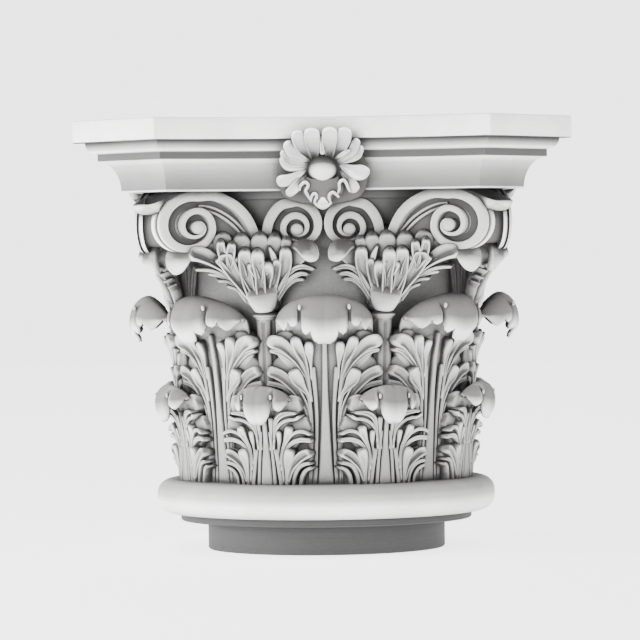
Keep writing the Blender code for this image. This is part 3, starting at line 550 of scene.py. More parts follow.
# %% Lower leaf
LOWER_EDGE = (
    (0.0, 129.5), (5.0, 130.3), (9.0, 133.0), (12.0, 138.0), (13.8, 144.0), (15.0, 150.5),
    (16.2, 147.0), (18.5, 144.0), (21.0, 143.4), (24.0, 145.0), (26.6, 149.0), (28.5, 153.0),
)
LOWER_HANG = ((0.0, 129.0), (6.0, 130.0), (12.0, 136.0), (18.5, 142.5), (24.0, 143.5), (28.5, 151.5))
lower_side = [
    # two thin ribs beside the middle one
    strip([(8.5, 68, 0), (7.4, 89, 0), (5.8, 108, 0), (4.4, 122, 0)],
          [2.0, 1.8, 1.7, 1.5], high=4.0, hollow=0.0),
    strip([(15.0, 68, 0), (12.4, 89, 0), (10.5, 105, 0.5)], [2.2, 2.2, 2.8], high=4.2, hollow=0.0),
    # lowest tier: two thin fingers and a tongue
    strip([(26, 68, -1), (27.3, 78, -1), (31.7, 86.5, 0), (38, 90.3, 1.5), (45.5, 91.5, 3)],
          [1.7, 1.8, 2.0, 2.0, 1.6], high=4.2, hollow=1.0, tip=1.6),
    strip([(32.5, 68, -2), (34.3, 78, -2), (38.8, 84.3, -0.5), (46.3, 87.5, 1.5)],
          [1.8, 1.9, 1.8, 1.5], high=4.0, hollow=0.8, tip=1.6),
    strip([(20.5, 68, 0), (20.5, 80, 0), (21.6, 91, 1), (24, 99, 2.5), (26.5, 105.5, 4)],
          [1.8, 2.0, 3.4, 5.2, 4.2], high=4.5, hollow=0.7, steps=12),
    # second tier: hollow finger
    strip([(21.5, 72, 0), (24.5, 84, 0), (30.5, 93.5, 1), (38, 99, 2.5), (46, 101.5, 4)],
          [1.5, 2.8, 4.6, 4.8, 4.2], high=4.8, hollow=3.6, steps=14),
    # third tier: wide hollow finger, its upper rim, a tongue and a small inner one
    strip([(17.5, 72, 0), (16.6, 86, 0), (18.2, 98, 0), (23.5, 108, 0.5), (30.5, 112.5, 2), (38, 114, 3),
           (46.5, 113, 4)],
          [1.3, 1.4, 1.6, 2.0, 2.3, 2.4, 2.2], high=4.2, hollow=0.6, steps=18, tip=0.8),
    strip([(15.5, 84, 0), (16, 96, 0), (18.5, 106, 0), (24, 115.5, 1), (31, 120.8, 2.5), (39, 122, 4),
           (46.5, 119, 5)],
          [1.1, 1.3, 1.4, 1.6, 1.7, 1.8, 1.4], high=4.6, hollow=0.4, steps=18),
    strip([(13.8, 90, 0), (16.8, 104, 0), (20.5, 112, 1), (24, 119.5, 2.5), (26.5, 127.5, 4.5)],
          [1.0, 1.5, 2.4, 4.0, 4.2], high=4.2, hollow=1.0, steps=12),
    strip([(12.2, 98, 0), (13.4, 108, 0), (14.2, 115, 1), (14.6, 123, 2.5)],
          [0.9, 1.4, 2.4, 2.8], high=4.0, hollow=0.8),
    # highest tier, in the shade of the hood
    strip([(8.0, 104, 0), (9.2, 117, 0), (13.5, 126.5, 0.5), (20, 131.5, 1.5), (27, 133.5, 2.5),
           (32.5, 134, 4), (38.5, 137.5, 6)],
          [1.1, 1.4, 1.7, 1.8, 1.8, 1.6, 1.1], high=4.2, hollow=0.6, steps=18, tip=1.6),
    strip([(8.6, 110, 0), (9.8, 124, 0), (12.5, 133, 1), (18.5, 138, 2.5), (26, 139.5, 4), (35, 139.5, 6)],
          [1.1, 1.8, 2.8, 2.8, 2.2, 1.2], high=4.2, hollow=1.0, steps=16, tip=1.6),
    strip([(4.5, 104, 0), (6.0, 120, 0), (7.2, 136, 2)], [1.0, 1.7, 2.8], high=3.8, hollow=0.8),
    # rounded backs between the tiers
    back([(14, 78, -6), (24, 88, -5), (36, 97, -4), (44, 99, -3)], [7.0, 8.0, 8.0, 6.5], 14.0),
    back([(12, 96, -6), (22, 112, -4), (34, 126, -3), (44, 128, -2)], [7.0, 9.0, 9.5, 7.5], 14.0),
    back([(8, 118, -5), (16, 134, -3), (27, 146, -1), (37, 146, 0)], [7.0, 9.0, 10.5, 8.0], 14.0),
]
lower_middle = [
    strip([(0, 68, 0), (0, 92, 0), (0, 113, 0), (0, 140, 1)],
          [6.4, 4.6, 2.8, 2.2], high=4.2, hollow=0.0, steps=14),
    strip([(0, 66, -4), (0, 100, -4), (0, 140, -3)], [24.0, 18.0, 14.0], high=4.0, hollow=0.5, sunk=18.0),
    # smooth ground that the fingers stand on, as wide as the leaf
    strip([(0, 64, -8), (0, 90, -8), (0, 112, -7.5), (0, 130, -7)], [46.0, 46.0, 45.0, 40.0],
          high=2.0, hollow=-1.5, sunk=16.0, tip=0.5),
]
lower_hood = hood(
    LOWER_EDGE, gap=1.5, rows=16, groove=(15.0, 3.8, 1.5, 0.50), bulge=(1.5, 2.4),
    half=30.5, top=166.0, drop=19.0, hang=LOWER_HANG, start=128.0, reach=26.0, back=5.0,
)
lower_eye = ball((15.0, 155.5, 21.0), (1.4, 2.5, 1.6))
lower = gather(lower_middle + [lower_hood] + both_sides(lower_side) + both_sides([lower_eye]))
print("lower leaf faces", len(lower[1]))
lower_leaves = make_piece("lower_leaves", *copies(wrap(lower, LOWER_GROUND, 22.5), range(0, 360, 45)))
print("lower leaves", count(lower_leaves))

# %% [markdown]
# ## Stalks and their cups
# Between the leaves stand eight fluted stalks. Each has a ring round its neck and opens above
# it in a vase, with a cup of leaves on it. The stalk is a tube whose rings of points are
# pushed in for each flute, so the flutes can fade out with a round end below the ring. Flat
# ribs climb the flanks of the vase, where a plain wall would show from the side.

# %% Stalk
STALK_ANGLE = 22.5
STALK_LINE = ((120.0, 139.0), (165.0, 141.0), (232.0, 145.5))
STALK_FOOT = 122.0
STALK_SIDES = 48
FLUTES = 6
COLLAR_HEIGHT = 235.2


def turned(middle, stations, sides):
    """Points and faces of a form turned about an upright line: (radius, height) stations."""
    points = [
        (middle[0] + radius * math.cos(side * 2.0 * math.pi / sides),
         middle[1] + radius * math.sin(side * 2.0 * math.pi / sides), height)
        for radius, height in stations for side in range(sides)
    ]
    ends = [tuple(range(sides))[::-1], tuple(range(len(points) - sides, len(points)))]
    return points, skin(len(stations), sides) + ends


def fluted_stalk():
    """The stalk under the ring, whose flutes end round at the top."""
    turn_to = math.radians(STALK_ANGLE)
    points = []
    heights = [STALK_FOOT + 4.0 * step for step in range(26)] + [224.5, 226.5, 228.5, 230.0, 233.0]
    for height in heights:
        reach = between(STALK_LINE, height)
        radius = 9.4 + 0.6 * (height - STALK_FOOT) / 110.0
        fade = clamp((229.5 - height) / 3.0) ** 0.5
        for side in range(STALK_SIDES):
            turn = 2.0 * math.pi * side / STALK_SIDES
            flute = max(0.0, math.cos(FLUTES * (turn - turn_to))) ** 0.7
            away = radius - 2.6 * flute * fade
            x, y = away * math.sin(turn), -away * math.cos(turn)
            points.append((reach * math.sin(turn_to) + x, -reach * math.cos(turn_to) + y, height))
    return points, skin(len(heights), STALK_SIDES)


# %% Ring and vase
neck_reach = between(STALK_LINE, COLLAR_HEIGHT)
neck = (neck_reach * math.sin(math.radians(STALK_ANGLE)), -neck_reach * math.cos(math.radians(STALK_ANGLE)))
collar_line = [(9.0, 229.0), (10.6, 229.8), (10.8, 231.4)]
collar_line += [
    (11.0 + 2.2 * math.cos(math.radians(turn)), COLLAR_HEIGHT - 1.4 + 2.2 * math.sin(math.radians(turn)))
    for turn in range(-75, 91, 15)
]
collar_line += [(9.4, 236.2), (8.8, 237.2), (9.4, 238.2), (11.4, 239.0), (13.0, 241.0), (14.0, 244.0)]
collar_line += [(14.6, 248.0), (15.2, 253.0), (16.2, 258.0), (17.6, 264.0), (19.4, 271.0), (21.6, 279.0)]
collar_line += [(24.0, 287.0), (23.4, 288.0), (10.0, 288.0)]
collar = turned(neck, collar_line, 40)
flank = []
for angle in (60, 90, 120, -60, -90, -120):
    turn = math.radians(angle + STALK_ANGLE)
    out = Vector((math.sin(turn), -math.cos(turn), 0.0))
    line = [
        (neck[0] + out.x * away, neck[1] + out.y * away, height)
        for away, height in ((13.4, 244.0), (14.6, 254.0), (17.2, 266.0), (22.4, 284.0))
    ]
    flank.append(
        strip(line, [1.6, 2.4, 3.2, 3.6], high=2.2, hollow=0.9, sunk=2.0, facing=tuple(out), steps=4)
    )
print("neck of the stalk at", [round(v, 1) for v in neck])

# %% [markdown]
# ## The leaves of the cup
# The cup's leaves are drawn as seen from the front, x across from the middle of the side, y
# up and z towards the viewer. One stalk carries a long leaf that sweeps under the corner
# volute, upright fingers in the middle, and a short leaf that curls under the inner scroll.

# %% Fingers of the cup
OUT = (0.0, -0.15, 1.0)


def finger(points, halves, high=4.5, hollow=4.2):
    """A long hollow finger, looking out and a little down."""
    return strip(points, halves, high=high, hollow=hollow, facing=OUT, steps=14)


def lobe(points, halves, high=4.2, hollow=3.0, tip=1.0):
    """A short lobe beside a finger."""
    return strip(points, halves, high=high, hollow=hollow, facing=OUT, tip=tip)


cup_leaves = [
    # the body that all of them grow from
    strip([(57, 239.5, 147), (57.6, 245, 150.2), (58.6, 251, 152.2), (59.6, 257, 152.2), (60.6, 264, 147)],
          [9.6, 12.6, 14.8, 15.6, 11.0], high=4.0, hollow=-2.6, facing=OUT, sunk=12.0, tip=0.9),
    strip([(57, 246, 142), (59, 262, 146), (62, 280, 150)],
          [11.0, 18.0, 25.0], high=4.0, hollow=-1.2, facing=OUT, sunk=7.0, tip=0.3),
    # tall finger with a side lobe
    finger([(65, 243, 148.5), (71.5, 262, 153.5), (74, 275, 159), (75, 287, 166), (75, 298, 171)],
           [4.4, 5.8, 6.4, 6.6, 6.2]),
    lobe([(76, 272, 156), (80, 281, 161), (84, 291, 166)], [3.4, 5.2, 4.8]),
    # looped finger with a side lobe
    finger([(59, 243, 150), (60.5, 262, 155), (61.0, 273, 160), (62.5, 284, 166), (63.3, 297, 172)],
           [4.6, 5.4, 5.4, 6.2, 6.8], hollow=4.4),
    lobe([(63, 270, 156), (67, 277.5, 161), (71.5, 285, 166)], [2.8, 4.0, 3.6], high=4.0, hollow=1.2),
    # short finger in the middle
    finger([(56, 258, 149), (55, 266, 154), (53.5, 274, 160), (53, 286, 166)],
        [3.8, 5.0, 5.8, 5.8], hollow=3.8),
    lobe([(54.6, 274, 158), (56.8, 280.5, 162), (58.2, 287, 166)], [2.2, 3.2, 3.0], high=4.0, hollow=0.8),
    # thin finger and a pointed one above it
    finger([(51, 250, 148), (48.0, 264, 154), (45.5, 276, 159), (43.5, 288.5, 165)],
           [3.4, 4.4, 4.8, 4.6], high=4.2, hollow=3.2),
    lobe([(45, 276, 152), (47.6, 290, 164), (51.8, 300, 169)],
        [2.8, 3.2, 0.9], high=4.0, hollow=1.0, tip=2.0),
    # looped finger beside the inner scroll
    finger([(51, 244, 148.5), (41.5, 264, 153), (37.8, 275, 158), (36, 286, 164), (36, 299, 170)],
           [3.6, 5.0, 5.8, 6.4, 5.8]),
    # forked finger
    finger([(66, 245, 147.5), (79, 264, 154), (87, 276, 160), (92.5, 287, 166), (94, 295, 170)],
           [3.2, 5.2, 6.8, 7.8, 6.4], hollow=4.6),
    lobe([(91, 280, 158), (96.5, 294, 169), (98, 306, 174)], [3.0, 4.6, 3.8], hollow=2.8),
    lobe([(90, 280, 158), (88.6, 293, 169), (87, 304, 173)], [3.0, 4.8, 3.8], hollow=2.8),
    lobe([(89, 274, 155), (97, 283, 164), (103, 289, 168)], [1.8, 2.8, 2.2], high=4.0, hollow=1.4),
]

# %% Sprays of the cup
def frond(points, halves, facing=(0.0, -0.3, 1.0), high=3.6, hollow=0.8, steps=12):
    """A thin frond with a pointed tip."""
    return strip(points, halves, high=high, hollow=hollow, facing=facing, steps=steps, tip=1.6)


cup_leaves += [
    # long leaf to the corner
    strip([(74, 252, 147), (85, 267, 152), (96, 279, 158), (107, 288, 165), (118, 292.5, 171),
           (128, 292.5, 175)],
          [1.4, 2.0, 3.8, 6.6, 7.4, 5.6], high=4.5, hollow=3.6, facing=(0.0, 0.2, 1.0), steps=16),
    frond([(73, 251, 145), (83.5, 269, 151), (97, 281, 157), (113, 287, 165), (129, 289, 171)],
          [1.3, 1.7, 2.2, 2.4, 1.6], facing=(0.0, -0.2, 1.0), steps=14),
    frond([(74, 249, 144), (84, 266, 149), (98.7, 275, 154), (110, 278.5, 159), (123, 279, 163)],
          [1.3, 1.6, 2.0, 2.0, 1.4], steps=14),
    frond([(75, 248, 143), (86, 264, 147), (97, 272, 151), (111, 275, 156)], [1.3, 1.8, 2.0, 1.5]),
    frond([(74, 247, 143), (81.6, 259, 146), (91, 267, 149), (102, 268, 153)], [1.3, 1.8, 1.9, 1.4]),
    frond([(71, 245, 143), (77.5, 255, 145), (84, 260, 147), (93, 263, 149)], [1.3, 1.8, 1.9, 1.3]),
    # low fronds towards the middle
    frond([(47, 252, 150), (39, 266, 154), (31, 276.5, 158), (20.6, 280.5, 163), (8.5, 277.5, 167)],
          [1.7, 2.2, 2.6, 2.6, 1.5], OUT, high=3.8, hollow=1.2, steps=16),
    frond([(46, 250, 149), (38, 262, 152), (31, 269.5, 156), (22.5, 273.5, 160), (14, 273, 163)],
          [1.5, 2.0, 2.4, 2.4, 1.5], OUT, high=3.8, hollow=1.2, steps=14),
    frond([(44, 248, 148), (36, 261, 151), (27.5, 267.5, 155), (18, 268, 158)],
          [1.5, 2.2, 2.2, 1.5], OUT, high=3.8, hollow=1.2),
    # blades of the short leaf and of the long one
    strip([(46, 253, 149), (38, 270, 154), (28, 286, 161), (18, 298, 169)],
          [3.0, 5.0, 8.0, 10.0], high=3.0, hollow=1.5, facing=(0.2, 0.0, 1.0), sunk=3.0),
    strip([(74, 254, 146), (88, 276, 154), (106, 291, 163), (126, 296, 168)],
          [4.0, 6.0, 8.0, 9.0], high=2.0, hollow=1.0, facing=(0.0, 0.2, 1.0), sunk=3.0),
]

# %% Backs and ends of the cup
# rounded backs that show above the fingers: place, top and half width
BACKS = ((97, 313, 10.0), (78.5, 311, 9.0), (60.7, 311.5, 9.2), (46.5, 310, 7.6), (35, 307, 6.0),
    (114, 305, 10.5))
for x, top, half in BACKS:
    cup_leaves.append(
        strip([(0.8 * x + 12, 280, 152), (0.95 * x + 3, 295, 160), (x, top, 166)],
              [0.8 * half, 0.95 * half, half], high=3.0, hollow=-2.5, facing=(0.0, 0.1, 1.0), sunk=26.0)
    )
# overturned ends: one under the inner scroll, one under the corner volute
cup_leaves += [
    strip([(30, 296, 160), (23, 300, 167), (16, 297, 174), (12.5, 291, 178), (12.5, 284.5, 177)],
          [4.0, 7.6, 9.4, 8.6, 5.4], high=3.0, hollow=-2.0, sunk=2.5,
          facing=((0.2, 1.0, 0.0), (0.2, 1.0, 0.6), (0.1, 0.8, 1.0), (0.0, 0.3, 1.0), (0.0, 0.0, 1.0))),
    strip([(108, 292, 158), (120, 298, 161), (131, 297, 164), (139, 288, 165), (142, 274, 160)],
          [5.0, 9.0, 12.0, 12.5, 6.0], high=3.0, hollow=-2.0, sunk=3.0, steps=14,
          facing=((-0.2, 1.0, 0.2), (0.0, 1.0, 0.5), (0.2, 0.8, 0.8), (0.3, 0.3, 1.0), (0.3, -0.2, 1.0))),
]
points, faces = gather(cup_leaves)
# the drawing stands up in the room: x, height, distance out
standing = ([(x, -z, y) for x, y, z in points], faces)
eighth = gather([fluted_stalk(), collar, standing] + flank)
cups = make_piece("stalks_and_cups", *copies(gather(both_sides([eighth]))))
print("stalks and cups", count(cups))

# %% [markdown]
# ## Scrolls
# A volute is a flat band wound in a spiral that tightens to a round eye, with a sunk field
# between its turns and two thin fillets beside its stem. Its two edges are drawn first: the
# outer one by its radius at each quarter turn, the inner one by the band's width. The face of
# a corner volute is turned towards the diagonal of the slab, where it meets its twin. The
# fields are a piece of their own, so that they can be painted darker, as shade.

# %% Scroll shapes
EYE_DROP = 34.4
EYE_SIDES = 28
FIRST_TURN = 18 + 3 * 16 + 1


def scroll_lines(stem, stem_width, radii, widths, stem_steps=18, quarter_steps=16):
    """The outer and the inner edge of the band, from its stem to its eye."""
    outer, inner = [], []
    ends = [(x, y, 0.0) for x, y in stem] + [(0.0, radii[0] - 0.5 * widths[0], 0.0)]
    for step in range(stem_steps):
        place = step / stem_steps
        here = smooth_point(ends, place)
        ahead = (smooth_point(ends, place + 0.02) - here).normalized()
        half = 0.5 * (stem_width + (widths[0] - stem_width) * place)
        outer.append(Vector((here.x - ahead.y * half, here.y + ahead.x * half)))
        inner.append(Vector((here.x + ahead.y * half, here.y - ahead.x * half)))
    quarters = len(radii) - 1
    for step in range(quarters * quarter_steps + 1):
        place = step / (quarters * quarter_steps)
        turn = math.radians(90.0) * (1.0 - place * quarters)
        radius = smooth_value(radii, place)
        width = smooth_value(widths, place)
        outer.append(Vector((radius * math.cos(turn), radius * math.sin(turn))))
        inner.append(Vector(((radius - width) * math.cos(turn), (radius - width) * math.sin(turn))))
    return outer, inner


def band(outer, inner, place, low, crown=0.2, score=0.0):
    """The raised band: a skin with rounded edges between two lines. place takes (x, y, height).

    A score is a groove of that depth along the outside of the band.
    """
    points, faces = [], []
    for left, right in zip(outer, inner):
        wide = (right - left).length
        soft = min(0.7, 0.25 * wide) / wide
        cut = min(score, 0.4 * wide) / wide
        section = [(0.0, low), (0.0, -7.4), (cut, -6.9), (cut, -4.1), (0.0, -3.6)]
        section += [(0.0, -1.0), (0.3 * soft, -0.35), (soft, 0.0), (0.5, crown)]
        section += [(1.0 - soft, 0.0), (1.0 - 0.3 * soft, -0.35), (1.0, -1.0), (1.0, low)]
        for share, height in section:
            spot = left.lerp(right, share)
            points.append(place(spot.x, spot.y, height))
    sides = len(section)
    return points, skin(len(outer), sides) + [tuple(range(sides))[::-1]]


def slab(outline, place, low, high):
    """A flat plate with an outline, from one height to another."""
    size = len(outline)
    points = [place(x, y, high) for x, y in outline] + [place(x, y, low) for x, y in outline]
    faces = [tuple(range(size)), tuple(range(size, 2 * size))[::-1]]
    faces += [(index, index + size, (index + 1) % size + size, (index + 1) % size) for index in range(size)]
    return points, faces


def dome(radius, rise, place, rows=6, sides=EYE_SIDES):
    """A low round boss, such as the eye of a scroll."""
    points = []
    for row in range(rows):
        tilt = math.radians(88.0) * row / (rows - 1)
        for side in range(sides):
            turn = 2.0 * math.pi * side / sides
            across, up = radius * math.cos(tilt) * math.cos(turn), radius * math.cos(tilt) * math.sin(turn)
            points.append(place(across, up, rise * math.sin(tilt) - 1.0))
    return points, skin(rows, sides) + [tuple(range(len(points) - sides, len(points)))]


def eye(radius, place):
    """The eye of a scroll: a boss on a round plug."""
    turns = [turn * 2.0 * math.pi / EYE_SIDES for turn in range(EYE_SIDES)]
    plug = [(radius * math.cos(turn), radius * math.sin(turn)) for turn in turns]
    return [dome(radius, 2.6, place), slab(plug, place, -12.0, -1.0)]


# %% Corner volutes
VOLUTE_EYE_REACH = 205.4
VOLUTE_REACH = 237.6
EDGE_HALF = 18.4
SPLAY = 0.60
slant = math.hypot(1.0, SPLAY)
volute_radii = (34.6, (VOLUTE_REACH - VOLUTE_EYE_REACH) * slant, 22.0, 17.4, 19.0, 17.4, 10.4, 7.8, 6.2)
volute_widths = (9.8, 8.4, 7.6, 6.8, 6.2, 5.2, 4.0, 3.0, 2.0)
volute_stem = ((-62.0, -28.0), (-56.0, -9.0), (-47.0, 10.0), (-33.0, 23.0), (-16.0, 30.0))


def on_volute(x, y, height):
    """A point on the face of the front right volute, seen from the front."""
    reach = VOLUTE_EYE_REACH + x / slant
    across = EDGE_HALF + SPLAY * (VOLUTE_REACH - reach) + height
    return (reach - across) / math.sqrt(2.0), -(reach + across) / math.sqrt(2.0), ABACUS_FOOT - EYE_DROP + y


def to_diagonal(x, y, height):
    """The same, with its back on the diagonal plane."""
    if height > -30.0:
        return on_volute(x, y, height)
    reach = VOLUTE_EYE_REACH + x / slant
    return reach / math.sqrt(2.0), -reach / math.sqrt(2.0), ABACUS_FOOT - EYE_DROP + y


outer, inner = scroll_lines(volute_stem, 9.0, volute_radii, volute_widths)
drawn = []
for index, spot in enumerate(outer[:FIRST_TURN]):
    inset = 4.5 + 5.0 * clamp((index - 34) / 30.0)
    drawn.append(spot * (1.0 - inset / max(spot.length, inset)))
drawn.append(inner[0])
fields = [slab([tuple(spot) for spot in drawn], to_diagonal, -40.0, -8.0)]
volute = [band(outer, inner, on_volute, -12.0, score=2.6)] + eye(6.3, on_volute)
for shift in (0.0, 4.6):
    line = ((-61.0, -20.0), (-52.0, -8.6), (-39.0, 6.0), (-26.0, 15.0), (-13.0, 20.0))
    line = [(x + 0.55 * shift, y - 0.8 * shift) for x, y in line]
    outer, inner = scroll_lines(line, 2.6, (22.4, 22.4), (2.6, 2.6), 20, 3)
    volute.append(band(outer[:20], inner[:20], lambda x, y, height: on_volute(x, y, height - 4.5), -6.0))

# %% Inner scrolls
HELIX_OFFSET = 25.0
HELIX_DROP = 37.5
HELIX_FACE = 165.0
helix_radii = (32.5, HELIX_OFFSET - 1.5, 14.0, 16.2, 17.1, 11.5, 7.0, 6.0)
helix_widths = (10.0, 8.0, 4.5, 6.0, 7.0, 4.5, 3.0, 2.5)
helix_stem = ((-35.0, -24.0), (-30.0, -6.0), (-26.0, 10.0), (-16.0, 23.0))


def on_helix(x, y, height):
    """A point on the face of the inner scroll beside it, seen from the front."""
    offset = HELIX_OFFSET - x
    return offset, -(HELIX_FACE - 0.15 * abs(offset) + height), ABACUS_FOOT - HELIX_DROP + y


outer, inner = scroll_lines(helix_stem, 9.5, helix_radii, helix_widths)
helix = [band(outer, inner, on_helix, -16.0)] + eye(6.2, on_helix)
rim_line = [tuple(spot * 0.96) for spot in outer[:FIRST_TURN]] + [tuple(inner[0])]
fields.append(slab(rim_line, on_helix, -20.0, -7.0))


def in_eighths(name, shapes):
    """A piece that stands in each half of each side, with soft edges."""
    piece = make_piece(name, *copies(gather(both_sides([gather(shapes)]))))
    bpy.ops.object.shade_smooth_by_angle(angle=math.radians(40.0))
    return piece


scrolls = in_eighths("scrolls", volute + helix)
scroll_fields = in_eighths("scroll_fields", fields)
print("scrolls", count(scrolls), "fields", count(scroll_fields))

# %% [markdown]
# ## Corner tongues
# Under each corner of the slab a thick tongue of leaf rolls out over the volutes and turns its
# lip down and out again. It is a sheet like the hoods, with one line for the bottom of its
# bed along the corner's diagonal and another for its rim.

# %% Tongues
TONGUE_UNDER = ((192.0, 350.0), (206.0, 349.0), (217.0, 342.0), (228.0, 333.5), (240.0, 331.0),
    (249.5, 334.5))
TONGUE_RIM = ((192.0, 353.5), (206.0, 353.5), (217.0, 353.0), (228.0, 350.0), (240.0, 345.5), (249.5, 341.0))
TONGUE_WIDTH = ((0.0, 0.85), (0.4, 1.0), (0.8, 1.0), (0.93, 0.85), (1.0, 0.62))
TONGUE_HALF = 16.5
TONGUE_ROWS, TONGUE_COLUMNS = 30, 26


def tongue():
    """A spoon along the corner's diagonal: its rim is thick and its bed is hollow."""
    top, under = [], []
    for row in range(TONGUE_ROWS + 1):
        place = row / TONGUE_ROWS
        low = smooth_point([(x, z, 0.0) for x, z in TONGUE_UNDER], place)
        high = smooth_point([(x, z, 0.0) for x, z in TONGUE_RIM], place)
        half = TONGUE_HALF * between(TONGUE_WIDTH, place)
        for column in range(TONGUE_COLUMNS + 1):
            across = 2.0 * column / TONGUE_COLUMNS - 1.0
            edge = max(abs(across) ** 4.0, max(0.0, (place - 0.70) / 0.30) ** 2.5)
            bed = low.y + 3.5 + 0.12 * (high.y - low.y)
            round_off = 2.5 * max(0.0, (edge - 0.75) / 0.25) ** 2
            reach = low.x - 4.0 * across**2 * place
            top.append((half * across, reach, bed + (high.y - bed) * edge - round_off))
            under.append((0.94 * half * across, reach - 2.0 * place, low.y + 2.6 * across**2))
    points = [
        ((reach - across) / math.sqrt(2.0), -(reach + across) / math.sqrt(2.0), height)
        for across, reach, height in top + under
    ]
    return points, sheet_faces(TONGUE_ROWS, TONGUE_COLUMNS)


tongues = make_piece("corner_tongues", *copies(tongue()))
print("tongues", count(tongues))

# %% [markdown]
# ## Flowers
# A flower sits in the hollow of each side, in front of the mouldings. It is ruffled round a
# button: four petals fold back over the top, side petals are pinched into pleats with thin
# rims, and the apron below has four drilled eyes and a hem turned out to a point. A ring of
# equal petals would look stamped, so each petal is its own strip, drawn where the carver put
# it. The ground and the button are pieces of their own, as light and shade are painted on them in other
# ways.

# %% Petals
FLOWER_HEIGHT = 371.5
FLOWER_OUT = 191.0
FLOWER_LEAN = 0.52
BUTTON = 14.0
FOLDED = ((0.0, 0.0, 1.0), (0.0, 0.0, 1.0), (0.0, 0.25, 1.0), (0.0, 1.1, 1.0))


def petal(points, halves, hollow, high=4.0, tip=1.0, swell=1.2, facing=(0.0, 0.0, 1.0)):
    """A petal with a thin rim, which swells towards its tip."""
    return strip(
        points, halves, high=high, hollow=hollow, facing=facing, steps=14, tip=tip, thin=0.9, swell=swell
    )


flower_parts = [
    # four petals on top, which fold back at the end
    petal([(-11.8, 10.2, -4), (-17.5, 17.7, 5), (-21.7, 27.2, 11), (-22.7, 36.0, 8.5)],
          [2.1, 4.9, 6.6, 6], 3.6, swell=2.2, facing=FOLDED),
    petal([(-7.1, 11.1, -4), (-8.5, 20.6, 6), (-9.5, 30, 12), (-9, 37.4, 9.5)],
          [2.8, 6, 7.6, 7], 3.8, swell=2.2, facing=FOLDED),
    petal([(7.1, 12.1, -4), (6.6, 20.6, 6), (7.1, 30, 12.5), (7.6, 38.4, 10)],
          [2.8, 5.9, 7.4, 7], 3.8, swell=2.2, facing=FOLDED),
    petal([(11.8, 12.1, -4), (16.5, 19.6, 5.5), (20.3, 29.1, 11.5), (20.3, 38.2, 9)],
          [2.3, 5.7, 7.2, 6.6], 3.6, swell=2.2, facing=FOLDED),
    # the pleat between the middle two
    strip([(-0.5, 31.9, 10), (-0.5, 22.4, 8), (0.2, 14.4, 5.5)], [0.9, 2.1, 2.6], high=4.4, hollow=3.6,
          steps=14, tip=1.4),
    # side petals on the left: three leaves of a pleat, a round lobe and a pointed one
    petal([(-12.8, 8.3, -4), (-20.3, 11.1, 4), (-28.4, 16.4, 5.5), (-32.6, 27.0, 3.5)],
        [1.1, 3.2, 5.4, 6.4], 2.6),
    petal([(-13.7, 5, -5), (-21.3, 5.4, 2.5), (-31.5, 8.4, 3.5), (-37.5, 18.5, 1.5)],
        [1.1, 2.8, 4.0, 4.2], 3.2),
    petal([(-13.7, 2.6, -5), (-23.2, 1.7, 1), (-32.8, 3.4, 2), (-38.4, 12.5, 0.0)],
        [1.1, 2.8, 4.2, 4.0], 1.2),
    petal([(-14.7, 0.7, -5), (-22.2, -4, 1.5), (-32.5, -9.6, 4.0), (-43.6, -10.2, 3)],
          [0.9, 3.2, 5.6, 5.8], 1, high=3.6),
    petal([(-16.5, -5, -4), (-21.3, -10.6, 3), (-27, -17.4, 5), (-34.0, -23.4, 3.5)],
          [1.5, 3.8, 5.0, 3.6], 1.8, high=3.8),
    # side petals on the right, with the large one that points outwards
    petal([(13.7, 11.1, -3), (20.3, 14.9, 5), (26.5, 18.2, 5)], [1.1, 2.3, 1.9], 1.8),
    petal([(15.6, 8.3, -4), (23.2, 12.5, 4), (29.4, 18.7, 5), (32.2, 28.4, 3.0)], [1.3, 3.2, 4.6, 4.6], 2.4),
    petal([(16.5, 6.4, -5), (25, 8.7, 2), (32.6, 12.5, 3), (36.4, 22.0, 1.0)], [1.1, 2.8, 4.0, 4.0], 2.4),
    petal([(17.5, 3.5, -4), (26, -0.7, 3.5), (34.0, -3.3, 5.5), (44.6, -1.7, 4)],
          [1.5, 5.0, 7.4, 5.4], 2.2, high=3.8, tip=1.3),
    petal([(18.4, -2.1, -4), (23.6, -8.7, 3), (28.0, -14.8, 5), (32.0, -21.0, 3.5)],
          [1.5, 4.0, 5.6, 4.6], 1.8, high=3.8),
]

# %% Ground, hem and button
grounds = [
    # the apron below the button, and the two pieces of it beside the drilled eyes
    strip([(0, -8.7, 3.5), (0, -17.2, 4.6), (0, -26.5, 6.2), (0, -35.0, 6.5)],
          [13.2, 13.2, 9, 7.6], high=2.6, hollow=-1, sunk=6.0, steps=14, tip=0.8),
    strip([(-10.9, -8.7, 3.5), (-14.2, -16.3, 4.5), (-13.7, -25.8, 5.5)],
          [4.7, 5.2, 3.4], high=2.4, hollow=-0.6, sunk=6.0, steps=14),
    strip([(10.9, -8.7, 3.5), (14.7, -16.3, 4.5), (14.2, -24.4, 5.5)],
          [4.7, 5.2, 3.4], high=2.4, hollow=-0.6, sunk=6.0, steps=14),
    # the heart that all the petals grow from
    strip([(0, 24, -6), (0, 8, -6), (0, -12, -4), (0, -26, -2)], [24.0, 28.0, 26.0, 16.0],
          high=2.0, hollow=-1.0, sunk=12.0, steps=16),
    # the plain boss behind the petals
    strip([(0, 22, -12), (0, 0, -11), (0, -24, -9), (0, -33, -7)], [34.0, 43.0, 38.0, 22.0],
          high=2.0, hollow=-2.0, sunk=16.0, steps=16),
]


def looped(points, halves, steps=22):
    """A thin rounded rim."""
    return strip(points, halves, high=3.0, hollow=-0.2, sunk=4.0, steps=steps)


